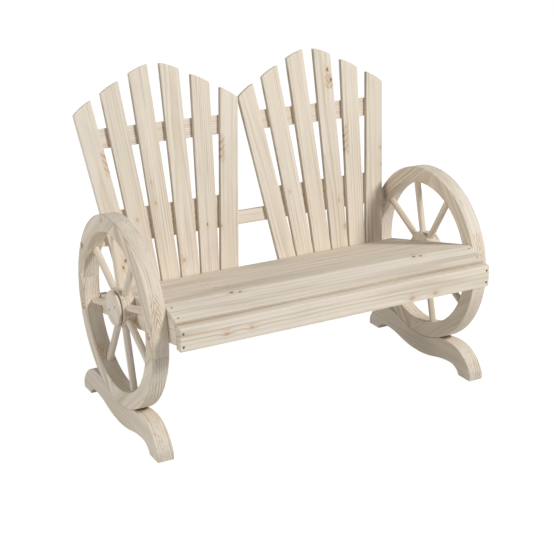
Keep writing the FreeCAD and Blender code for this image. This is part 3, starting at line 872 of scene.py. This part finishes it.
def new_object(name: str, data: bpy.types.ID) -> bpy.types.Object:
    """Put a mesh, a lamp or a camera into the scene.

    Args:
        name: Object name.
        data: What the object holds.

    Returns:
        The object.
    """
    made = bpy.data.objects.new(name, data)
    bpy.context.scene.collection.objects.link(made)
    return made


def to_mesh(name: str, shape: bmesh.types.BMesh) -> bpy.types.Mesh:
    """Turn a mesh under construction into a plain mesh.

    Args:
        name: Mesh name.
        shape: Mesh, which is freed.

    Returns:
        The plain mesh.
    """
    mesh = bpy.data.meshes.new(name)
    shape.to_mesh(mesh)
    shape.free()
    return mesh


def to_object(name: str, shape: bmesh.types.BMesh, sharp: float = SHARP_ANGLE) -> bpy.types.Object:
    """Turn a mesh under construction into an object with weighted normals.

    Args:
        name: Object name.
        shape: Mesh, which is freed.
        sharp: Angle in degrees above which an edge stays sharp.

    Returns:
        The object, linked to the scene.
    """
    mesh = to_mesh(name, shape)
    mesh.shade_smooth()
    mesh.set_sharp_from_angle(angle=math.radians(sharp))
    made = new_object(name, mesh)
    made.modifiers.new("weighted", "WEIGHTED_NORMAL").keep_sharp = True
    return made


def place(piece: bpy.types.Object, slot: Slot, *nodes: str) -> bpy.types.Object:
    """Let a piece stand for CAD nodes and ride on the bench.

    Args:
        piece: Finished piece.
        slot: Material slot that it shows; not used.
        *nodes: CAD nodes that it replaces.

    Returns:
        The piece.
    """
    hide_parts(*nodes)
    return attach(piece, BODY)


@dataclass
class WoodPiece:
    """A CAD node dressed as a planed piece of pine with eased edges."""

    node: str
    slot: Slot
    ease: float = 0.0016
    shortest_edge: float = 0.004
    along: Vector | None = None
    out: Vector | None = None
    cut: Cut = Cut.BROAD
    knots: tuple[Knot, ...] = ()
    feather: Feather = Feather()
    edge_angle: float = 32.0

    def build(self, finishes: Finishes) -> bpy.types.Object:
        """Make the piece.

        Args:
            finishes: Materials by slot.

        Returns:
            The dressed piece.
        """
        shape = merged(self.node)
        along = self.along or self._longest(shape)
        out = self.out or self._broadest(shape)
        bevel(shape, self.ease, self.edge_angle, self.shortest_edge)
        piece = to_object("dressed_" + self.node, shape)
        points = places(piece.data)
        grain = Grain.of_tree(self.node, along, out, self.cut)
        grain.knots, grain.feather = self.knots, self.feather
        grain.write(piece.data, points, np.ones(len(points), bool))
        piece.data.materials.append(finishes.made[self.slot])
        return place(piece, self.slot, self.node)

    def _longest(self, shape: bmesh.types.BMesh) -> Vector:
        """Find the way the piece's longest edge runs.

        Args:
            shape: Mesh of the piece.

        Returns:
            The edge as a vector whose largest part is positive.
        """
        edge = max(shape.edges, key=lambda item: round(item.calc_length(), SIZE_DECIMALS))
        run = edge.verts[1].co - edge.verts[0].co
        return run if max(run, key=abs) > 0 else -run

    def _broadest(self, shape: bmesh.types.BMesh) -> Vector:
        """Find the way the piece's broadest side faces.

        Args:
            shape: Mesh of the piece.

        Returns:
            The normal that most of the surface shares.
        """
        areas: dict[tuple, float] = {}
        for face in shape.faces:
            key = tuple(round(part, NORMAL_DECIMALS) for part in face.normal)
            areas[key] = areas.get(key, 0.0) + face.calc_area()
        return Vector(max(areas, key=lambda key: (round(areas[key], SIZE_DECIMALS), key)))


@dataclass
class Seat:
    """Boards, nose board, apron and the frame below them."""

    boards: tuple[str, ...] = ("seat_board_1", "seat_board_2", "seat_board_3", "seat_board_4")
    rails: tuple[str, ...] = ("left_seat_rail", "right_seat_rail", "seat_bearer")
    board_ease: float = 0.0014
    nose_knots: tuple[Knot, ...] = (
        Knot(-0.298, 0.035, 0.005, True),
        Knot(-0.274, 0.031, 0.004, True),
        Knot(0.287, 0.036, 0.005, True),
        Knot(0.309, 0.033, 0.004, True),
    )
    apron_knots: tuple[Knot, ...] = (
        Knot(-0.359, 0.007, 0.006),
        Knot(-0.286, 0.003, 0.005),
        Knot(0.220, 0.019, 0.007),
        Knot(0.300, 0.018, 0.006),
    )
    board_knots: dict[str, tuple[Knot, ...]] = field(
        default_factory=lambda: {
            "seat_board_1": (
                Knot(-0.267, 0.034, 0.004, True),
                Knot(-0.118, 0.014, 0.004),
                Knot(0.306, -0.022, 0.006),
            ),
            "seat_board_2": (
                Knot(-0.292, -0.045, 0.003, True),
                Knot(-0.277, -0.041, 0.003, True),
                Knot(-0.291, 0.046, 0.003, True),
            ),
            "seat_board_3": (Knot(0.118, 0.020, 0.005),),
        }
    )

    def build(self, finishes: Finishes) -> list[bpy.types.Object]:
        """Make the seat's pieces.

        Args:
            finishes: Materials by slot.

        Returns:
            The dressed pieces.
        """
        knots = {"seat_nose_board": self.nose_knots, "front_apron": self.apron_knots, **self.board_knots}
        pieces = [
            WoodPiece(node, Slot.SEAT, self.board_ease, knots=knots.get(node, ()))
            for node in ("seat_nose_board", "front_apron", *self.boards)
        ]
        pieces += [WoodPiece(node, Slot.FRAME) for node in self.rails]
        return [piece.build(finishes) for piece in pieces]


@dataclass
class Back:
    """Two fans of slats and the rails behind them."""

    slat_count: int = 6
    arched_slats: tuple[int, ...] = (0, 3, 5)
    fan_rails: tuple[str, ...] = ("upper", "middle")
    cross_rails: tuple[str, ...] = ("back_rail", "lower_rail")
    slat_ease: float = 0.0022
    knots: dict[str, tuple[Knot, ...]] = field(
        default_factory=lambda: {
            "left_back_slat_1": (Knot(-0.164, -0.002, 0.005, True), Knot(-0.181, 0.010, 0.004, True)),
            "left_back_slat_2": (Knot(-0.074, 0.004, 0.004),),
            "left_back_slat_3": (Knot(-0.054, 0.012, 0.004), Knot(0.008, 0.016, 0.003)),
            "left_back_slat_4": (Knot(-0.234, 0.016, 0.005),),
            "left_back_slat_5": (Knot(-0.120, 0.001, 0.003, True),),
            "left_back_slat_6": (Knot(-0.113, 0.024, 0.003),),
            "right_back_slat_2": (Knot(-0.060, 0.014, 0.003),),
            "right_back_slat_4": (
                Knot(0.278, -0.013, 0.006, True),
                Knot(0.246, -0.022, 0.005, True),
                Knot(-0.132, -0.012, 0.004),
                Knot(-0.215, -0.024, 0.006),
            ),
            "right_back_slat_5": (Knot(0.112, 0.022, 0.004),),
            "right_back_slat_6": (Knot(0.063, -0.026, 0.004), Knot(0.009, -0.028, 0.004)),
        }
    )
    feathers: dict[str, Feather] = field(
        default_factory=lambda: {
            "left_back_slat_1": Feather(0.120, -0.026, 0.09),
            "left_back_slat_6": Feather(0.120, 0.026, 0.10),
            "right_back_slat_4": Feather(0.242, -0.016, 0.06),
            "right_back_slat_5": Feather(0.068, 0.028, 0.10),
        }
    )

    def build(self, finishes: Finishes) -> list[bpy.types.Object]:
        """Make the back's pieces.

        Args:
            finishes: Materials by slot.

        Returns:
            The dressed pieces.
        """
        pieces = []
        for side in SIDES:
            for index in range(self.slat_count):
                node = f"{side}_back_slat_{index + 1}"
                slat = WoodPiece(node, Slot.BACK, self.slat_ease, knots=self.knots.get(node, ()))
                slat.cut = Cut.ARCHED if index in self.arched_slats else Cut.BROAD
                slat.feather = self.feathers.get(node, Feather())
                pieces.append(slat)
            pieces += [WoodPiece(f"{side}_{rail}_rail", Slot.BACK) for rail in self.fan_rails]
        pieces += [WoodPiece(node, Slot.BACK) for node in self.cross_rails]
        return [piece.build(finishes) for piece in pieces]


@dataclass
class Wheel:
    """One wheel: felloes, spokes, hub and cap, and the foot under it."""

    side: str
    felloe_count: int = 4
    felloe_ease: float = 0.0011
    foot_ease: float = 0.0024
    hub_ease: float = 0.002
    cap_ease: float = 0.0006
    hub_edge: float = 0.02
    cap_edge: float = 0.003
    cap_lean: float = 0.35
    spoke_sharp: float = 50.0
    knotted_felloe: int = 0
    tread_felloe: int = 1
    inner_felloe: int = 3
    rim_knots: tuple[Knot, ...] = (Knot(0.107, 0.040, 0.007),)
    tread_feather: Feather = Feather(0.088, 0.004, 0.11)
    inner_feather: Feather = Feather(-0.050, 0.006, 0.07)

    def build(self, finishes: Finishes) -> list[bpy.types.Object]:
        """Make the wheel's pieces.

        Args:
            finishes: Materials by slot.

        Returns:
            The dressed pieces.
        """
        nodes = [f"{self.side}_felloe_{index + 1}" for index in range(self.felloe_count)]
        middles = [sum(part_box(node), Vector()) / 2 for node in nodes]
        rim_centre = sum(middles, Vector()) / self.felloe_count
        outward = Vector((math.copysign(1.0, rim_centre.x), 0, 0))
        felloes = [WoodPiece(node, Slot.WHEEL, self.felloe_ease) for node in nodes]
        for felloe, middle in zip(felloes, middles):
            reach = middle - rim_centre
            felloe.along = Vector((0, -reach.z, reach.y))
        felloes[self.knotted_felloe].knots = self.rim_knots
        felloes[self.tread_felloe].feather = self.tread_feather
        felloes[self.inner_felloe].feather = self.inner_feather
        hub = WoodPiece(f"{self.side}_hub", Slot.WHEEL, self.hub_ease, self.hub_edge)
        hub.along = Vector((0, 0, 1))
        cap = WoodPiece(f"{self.side}_hub_cap", Slot.WHEEL, self.cap_ease, self.cap_edge)
        cap.along = Vector((0, 1, self.cap_lean))
        foot = WoodPiece(f"{self.side}_foot", Slot.FRAME, self.foot_ease, along=Vector((0, 1, 0)))
        pieces = (*felloes, hub, cap, foot)
        for piece in pieces:
            piece.out = outward
            piece.cut = Cut.NARROW
        return [*(piece.build(finishes) for piece in pieces), self._spokes(finishes)]

    def _spokes(self, finishes: Finishes) -> bpy.types.Object:
        """Make all spokes of the wheel as one piece, each with its own grain.

        Args:
            finishes: Materials by slot.

        Returns:
            The dressed piece.
        """
        low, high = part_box(f"{self.side}_hub")
        centre = (low + high) / 2
        node = f"{self.side}_spokes"
        piece = to_object("dressed_" + node, merged(node), self.spoke_sharp)
        points = places(piece.data)
        for index, chosen in enumerate(islands(piece.data)):
            middle = Vector((points[chosen].min(0) + points[chosen].max(0)) / 2)
            grain = Grain.of_tree(f"{node}_{index}", middle - centre, Vector((1, 0, 0)))
            grain.write(piece.data, points, chosen)
        piece.data.materials.append(finishes.made[Slot.WHEEL])
        return place(piece, Slot.WHEEL, node)


@dataclass(frozen=True)
class Seating:
    """Where one fastener's head sits, the way it faces, and how long and thick it is."""

    point: Vector
    facing: Vector
    radius: float
    shank: float
    length: float


def seatings(node: str) -> list[Seating]:
    """Read where a group's fasteners sit from the CAD solids.

    Args:
        node: Group node.

    Returns:
        One seating for each solid, at the top of its head.
    """
    mesh = to_mesh("seatings", merged(node))
    points = places(mesh)
    found = []
    for chosen in islands(mesh):
        solid = points[chosen]
        middle = solid.mean(0)
        axis = np.linalg.svd(solid - (solid.min(0) + solid.max(0)) / 2)[2][0]
        runs = (solid - middle) @ axis
        widths = np.linalg.norm(solid - middle - np.outer(runs, axis), axis=1)
        if runs[widths.argmax()] < (runs.max() + runs.min()) / 2:
            axis, runs = -axis, -runs
        centre = solid[widths > widths.max() * WIDEST_SHARE].mean(0)
        centre = centre + axis * (runs.max() - (centre - middle) @ axis)
        shank = widths[runs < (runs.max() + runs.min()) / 2].max()
        found.append(
            Seating(Vector(centre), Vector(axis), float(widths.max()), float(shank), float(np.ptp(runs)))
        )
    bpy.data.meshes.remove(mesh)
    return found


def lathe(
    shape: bmesh.types.BMesh, profile: list[tuple[float, float]], count: int
) -> list[list[bmesh.types.BMVert]]:
    """Turn a profile of (radius, height) into rings of faces, closed at its start.

    Args:
        shape: Mesh to add to.
        profile: Rings from the lowest on.
        count: Points in each ring.

    Returns:
        The rings' vertices.
    """
    rings = []
    for radius, height in profile:
        turns = (math.tau * index / count for index in range(count))
        rings.append(
            [shape.verts.new((radius * math.cos(turn), radius * math.sin(turn), height)) for turn in turns]
        )
    for lower, upper in zip(rings, rings[1:]):
        for index in range(count):
            following = (index + 1) % count
            shape.faces.new((lower[index], lower[following], upper[following], upper[index]))
    shape.faces.new(rings[0][::-1])
    return rings


@dataclass
class FastenerHead:
    """A head shape that a Geometry Nodes group sets on every seating of a group of fasteners."""

    name: str
    node: str
    slot: Slot
    sunk: float = 0.0003
    sharp: float = 40.0

    def build(self, finishes: Finishes) -> bpy.types.Object:
        """Make all heads of the group as one piece.

        Args:
            finishes: Materials by slot.

        Returns:
            The piece with plain geometry.
        """
        rows = seatings(self.node)
        pattern = new_object(self.name + "_pattern", to_mesh(self.name + "_pattern", self.head(rows[0])))
        holder = self._points(rows)
        tree = self._tree()
        modifier = holder.modifiers.new("heads", "NODES")
        modifier.node_group = tree
        values = {
            "Head": pattern,
            "Finish": finishes.made[self.slot],
            "Sunk": self.sunk,
            "Turn seed": len(rows),
        }
        for item in tree.interface.items_tree:
            if item.item_type == "SOCKET" and item.in_out == "INPUT" and item.name in values:
                modifier[item.identifier] = values[item.name]
        bpy.context.view_layer.update()
        ready = holder.evaluated_get(bpy.context.evaluated_depsgraph_get())
        mesh = bpy.data.meshes.new_from_object(ready)
        holder.modifiers.clear()
        for spare in (holder, pattern):
            bpy.data.objects.remove(spare)
        mesh.shade_smooth()
        mesh.set_sharp_from_angle(angle=math.radians(self.sharp))
        return place(new_object(self.name, mesh), self.slot, self.node)

    def _points(self, rows: list[Seating]) -> bpy.types.Object:
        """Make one loose point for each head.

        Args:
            rows: Seatings of the group.

        Returns:
            An object of points that know the way their heads face.
        """
        mesh = bpy.data.meshes.new(self.name + "_points")
        mesh.from_pydata([row.point for row in rows], [], [])
        facing = mesh.attributes.new("facing", "FLOAT_VECTOR", "POINT")
        facing.data.foreach_set("vector", [part for row in rows for part in row.facing])
        return new_object(self.name + "_points", mesh)

    def _tree(self) -> bpy.types.NodeTree:
        """Make the nodes that set a head on each point, sink it and turn it.

        Returns:
            A tree with inputs for the head, its finish, its depth and the seed of the turns.
        """
        tree = bpy.data.node_groups.new(self.name + "_heads", "GeometryNodeTree")
        graph = Graph(tree)
        kinds = ("Geometry", "Object", "Material", "Float", "Int")
        for label, kind in zip(("Geometry", "Head", "Finish", "Sunk", "Turn seed"), kinds):
            tree.interface.new_socket(label, in_out="INPUT", socket_type="NodeSocket" + kind)
        tree.interface.new_socket("Geometry", in_out="OUTPUT", socket_type="NodeSocketGeometry")
        points = graph.node("NodeGroupInput")
        head, finish, sunk, seed = graph.others(points, "Head", "Finish", "Sunk", "Turn seed")
        facing = graph.node(
            "GeometryNodeInputNamedAttribute", "Attribute", {"Name": "facing"}, data_type="FLOAT_VECTOR"
        )
        aim = graph.node("FunctionNodeAlignRotationToVector", 0, {"Vector": facing}, axis="Z")
        shape = graph.node("GeometryNodeObjectInfo", "Geometry", {"Object": head})
        spread = {"Points": points, "Instance": shape, "Rotation": aim}
        heads = graph.node("GeometryNodeInstanceOnPoints", 0, spread)
        down = graph.join(0.0, 0.0, sunk * -1.0)
        heads = graph.node("GeometryNodeTranslateInstances", 0, {"Instances": heads, "Translation": down})
        turns = {RANDOM_MOST: math.tau, "Seed": seed}
        turn = graph.node("FunctionNodeRandomValue", RANDOM_RESULT, turns, data_type="FLOAT")
        twist = {"Instances": heads, "Rotation": graph.join(0.0, 0.0, turn)}
        heads = graph.node("GeometryNodeRotateInstances", 0, twist)
        solid = graph.node("GeometryNodeRealizeInstances", 0, {"Geometry": heads})
        painted = graph.node("GeometryNodeSetMaterial", 0, {"Geometry": solid, "Material": finish})
        graph.end("NodeGroupOutput", painted)
        return tree

    def head(self, seat: Seating) -> bmesh.types.BMesh:
        """Return the head's mesh, its top at height 0 and facing up."""
        raise NotImplementedError


class CrossHead(FastenerHead):
    """Countersunk head with a cross recess, whose sizes are shares of the head's radius."""

    count = 24
    arms = 4
    wall = ((0.55, -0.8), (0.97, -0.1), (0.94, 0.0))
    arm_reach = 0.62
    arm_half = 0.13
    depth = 0.42
    floor_share = 0.75

    def head(self, seat: Seating) -> bmesh.types.BMesh:
        """Make a countersunk head with a cross cut into it.

        Args:
            seat: Seating that gives the radius.

        Returns:
            The head's mesh.
        """
        shape = bmesh.new()
        radius, share = seat.radius, self.floor_share
        top = lathe(shape, [(radius * out, radius * up) for out, up in self.wall], self.count)[-1]
        reach, half, depth = (radius * size for size in (self.arm_reach, self.arm_half, self.depth))
        mouth, floor = [], []
        for quarter in range(self.arms):
            turn = Matrix.Rotation(math.tau / self.arms * quarter, 4, "Z")
            for x, y in ((reach, -half), (reach, half), (half, half)):
                mouth.append(shape.verts.new(turn @ Vector((x, y, 0.0))))
                floor.append(shape.verts.new(turn @ Vector((x * share, y * share, -depth))))
        self._rim(shape, top, mouth)
        for index, vertex in enumerate(mouth):
            following = (index + 1) % len(mouth)
            shape.faces.new((floor[index], floor[following], mouth[following], vertex))
        shape.faces.new(floor)
        bmesh.ops.recalc_face_normals(shape, faces=shape.faces)
        return shape

    def _rim(
        self, shape: bmesh.types.BMesh, top: list[bmesh.types.BMVert], mouth: list[bmesh.types.BMVert]
    ) -> None:
        """Fill the flat ring between the head's edge and the cross, one quarter at a time.

        Args:
            shape: Mesh to add to.
            top: Vertices of the head's edge.
            mouth: Vertices of the cross.
        """
        points, corners = self.count // self.arms, len(mouth) // self.arms
        for quarter in range(self.arms):
            outer = [top[(quarter * points + step) % self.count] for step in range(points + 1)]
            inner = [mouth[(quarter * corners + step) % len(mouth)] for step in range(1, corners + 2)]
            before = mouth[quarter * corners]
            shape.faces.new((*outer, *inner[::-1]))
            shape.faces.new((outer[0], mouth[quarter * corners + 1], before))


class ButtonHead(FastenerHead):
    """Button bolt head with a rounded edge, and a shank that ends in a thread.

    Lengths are in metres. Clearance, tip, root and flat are shares of a radius.
    """

    count = 32
    steps = 8
    height = 0.005
    rounding = 0.0028
    pitch = 0.00125
    thread_length = 0.02
    clearance = 0.98
    tip = 0.8
    root = 0.87
    flat = 0.45

    def head(self, seat: Seating) -> bmesh.types.BMesh:
        """Make a whole bolt.

        Args:
            seat: Seating that gives the radii and the length.

        Returns:
            The bolt's mesh.
        """
        shape = bmesh.new()
        radius, shank = seat.radius * self.clearance, seat.shank * self.clearance
        profile = [(shank * self.tip, -seat.length)]
        for ridge in range(int(self.thread_length / self.pitch)):
            foot = self.pitch * (ridge + 0.5) - seat.length
            profile += [(shank, foot), (shank * self.root, foot + self.pitch / 2)]
        profile += [(shank, self.thread_length - seat.length), (shank, -self.height), (radius, -self.height)]
        for step in range(self.steps + 1):
            turn = math.pi / 2 * step / self.steps
            out = self.flat + (1 - self.flat) * math.cos(turn)
            profile.append((radius * out, self.rounding * (math.sin(turn) - 1)))
        shape.faces.new(lathe(shape, profile, self.count)[-1])
        bmesh.ops.recalc_face_normals(shape, faces=shape.faces)
        return shape


class SocketHead(FastenerHead):
    """Flat bolt head with a round socket, whose sizes are shares of the head's radius."""

    count = 24
    outline = ((0.97, -0.5), (0.97, -0.12), (0.88, 0.0), (0.46, 0.0), (0.42, -0.4))

    def head(self, seat: Seating) -> bmesh.types.BMesh:
        """Make a chamfered head with a socket.

        Args:
            seat: Seating that gives the radius.

        Returns:
            The head's mesh.
        """
        shape = bmesh.new()
        profile = [(seat.radius * out, seat.radius * up) for out, up in self.outline]
        shape.faces.new(lathe(shape, profile, self.count)[-1])
        bmesh.ops.recalc_face_normals(shape, faces=shape.faces)
        return shape


@dataclass
class Fasteners:
    """Every screw, bolt and nut."""

    screws: tuple[str, ...] = ("seat_screws", "apron_screws", "hub_cap_screws", "slat_screws")
    nut_ease: float = 0.0006
    nut_angle: float = 50.0

    def build(self, finishes: Finishes) -> list[bpy.types.Object]:
        """Make the fasteners' pieces.

        Args:
            finishes: Materials by slot.

        Returns:
            The dressed pieces.
        """
        groups = [CrossHead("heads_of_" + node, node, Slot.ZINC) for node in self.screws]
        groups.append(ButtonHead("dressed_seat_rail_bolts", "seat_rail_bolts", Slot.BRASS, sunk=0.0))
        groups.append(ButtonHead("dressed_back_rail_bolts", "back_rail_bolts", Slot.DARK, sunk=0.0))
        groups.append(SocketHead("heads_of_foot_bolts", "foot_bolts", Slot.ZINC, sunk=0.0))
        return [*(group.build(finishes) for group in groups), self._nuts(finishes)]

    def _nuts(self, finishes: Finishes) -> bpy.types.Object:
        """Make the nuts and washers behind the seat rails.

        Args:
            finishes: Materials by slot.

        Returns:
            The dressed piece.
        """
        shape = merged("seat_rail_nuts")
        bevel(shape, self.nut_ease, self.nut_angle)
        nuts = to_object("dressed_seat_rail_nuts", shape)
        nuts.data.materials.append(finishes.made[Slot.ZINC])
        return place(nuts, Slot.ZINC, "seat_rail_nuts")


@dataclass(frozen=True)
class View:
    """The photograph's camera: angles in radians, pixels of a square picture, metres."""

    yaw: float = 0.5064
    pitch: float = -0.3286
    roll: float = -0.0057
    focal: float = 1184.6
    centre: tuple[float, float] = (278.1, 256.9)
    position: tuple[float, float, float] = (-1.6081, -2.8551, 1.5237)
    picture: float = 554.0
    sensor: float = 36.0

    def build(self) -> None:
        """Make the camera and put it in charge."""
        data = bpy.data.cameras.new("camera")
        data.sensor_width = self.sensor
        data.lens = self.focal / self.picture * self.sensor
        data.shift_x = (self.picture / 2 - self.centre[0]) / self.picture
        data.shift_y = (self.centre[1] - self.picture / 2) / self.picture
        level = math.cos(self.pitch)
        forward = Vector((math.sin(self.yaw) * level, math.cos(self.yaw) * level, math.sin(self.pitch)))
        right = Vector((math.cos(self.yaw), -math.sin(self.yaw), 0.0))
        up = right.cross(forward)
        tilted = right * math.cos(self.roll) + up * math.sin(self.roll)
        upright = up * math.cos(self.roll) - right * math.sin(self.roll)
        made = new_object("camera", data)
        turn = Matrix((tilted, upright, -forward)).transposed().to_4x4()
        made.matrix_world = Matrix.Translation(self.position) @ turn
        bpy.context.scene.camera = made


@dataclass(frozen=True)
class Lamp:
    """A soft area lamp aimed at the seat."""

    name: str
    place: tuple[float, float, float]
    size: float
    power: float
    aim: tuple[float, float, float] = (0.0, 0.0, 0.45)

    def build(self) -> None:
        """Make the lamp."""
        data = bpy.data.lights.new(self.name, "AREA")
        data.shape = "SQUARE"
        data.size = self.size
        data.energy = self.power
        made = new_object(self.name, data)
        made.location = self.place
        way = Vector(self.aim) - Vector(self.place)
        made.rotation_mode = "QUATERNION"
        made.rotation_quaternion = way.to_track_quat("-Z", "Y")


@dataclass
class Studio:
    """Pale floor, white surroundings and soft lamps."""

    lamps: tuple[Lamp, ...] = (
        Lamp("key", place=(2.9, -5.4, 5.45), size=1.4, power=432.0),
        Lamp("side", place=(-5.0, 0.6, 1.6), size=2.6, power=80.0),
    )
    world_light: float = 0.195
    floor_size: float = 30.0
    floor_drop: float = 0.0005
    floor_white: float = 1.36
    floor_share: float = 0.7
    floor_colour: Colour = (0.8, 0.8, 0.8, 1.0)
    floor_cells: int = 8

    def build(self) -> None:
        """Make the studio."""
        bpy.context.scene.view_settings.view_transform = "Standard"
        for lamp in self.lamps:
            lamp.build()
        self._world()
        self._floor()

    def _seen(self, graph: Graph) -> Sock:
        """Tell rays that see the background from rays that light the bench.

        Args:
            graph: Graph to add to.

        Returns:
            1 for a ray from the camera, a reflection or glass, and 0 for light.
        """
        camera = graph.node("ShaderNodeLightPath", "Is Camera Ray")
        glossy, through = graph.others(camera, "Is Glossy Ray", "Is Transmission Ray")
        return camera.larger(glossy).larger(through)

    def _world(self) -> None:
        """Make surroundings that look white and light the bench softly."""
        world = bpy.data.worlds.new("studio")
        bpy.context.scene.world = world
        world.use_nodes = True
        graph = Graph(world.node_tree)
        light = graph.node("ShaderNodeBackground", 0, {"Color": WHITE, "Strength": self.world_light})
        white = graph.node("ShaderNodeBackground", 0, {"Color": WHITE, "Strength": 1.0})
        mixed = graph.node("ShaderNodeMixShader", 0, {0: self._seen(graph), 1: light, 2: white})
        graph.end("ShaderNodeOutputWorld", mixed)

    def _floor(self) -> None:
        """Make a floor that looks white and takes the bench's shadow."""
        shape = bmesh.new()
        low = Matrix.Translation((0.0, 0.0, -self.floor_drop))
        cells, half = self.floor_cells, self.floor_size / 2
        bmesh.ops.create_grid(shape, x_segments=cells, y_segments=cells, size=half, matrix=low)
        floor = new_object("floor", to_mesh("floor", shape))
        material, graph = new_material("floor")
        diffuse = graph.node("ShaderNodeBsdfDiffuse", 0, {"Color": self.floor_colour})
        white = graph.node("ShaderNodeEmission", 0, {"Color": WHITE, "Strength": self.floor_white})
        seen = self._seen(graph) * self.floor_share
        mixed = graph.node("ShaderNodeMixShader", 0, {0: seen, 1: diffuse, 2: white})
        graph.end("ShaderNodeOutputMaterial", mixed)
        floor.data.materials.append(material)


def main() -> None:
    """Dress the bench and set the studio round it."""
    logging.basicConfig(level=logging.INFO)
    View().build()
    Studio().build()
    finishes = Finishes()
    finishes.build()
    for assembly in (Seat(), Back(), *(Wheel(side) for side in SIDES), Fasteners()):
        for piece in assembly.build(finishes):
            LOG.info("%s has %d faces", piece.name, len(piece.data.polygons))


if __name__ == "__main__":
    main()
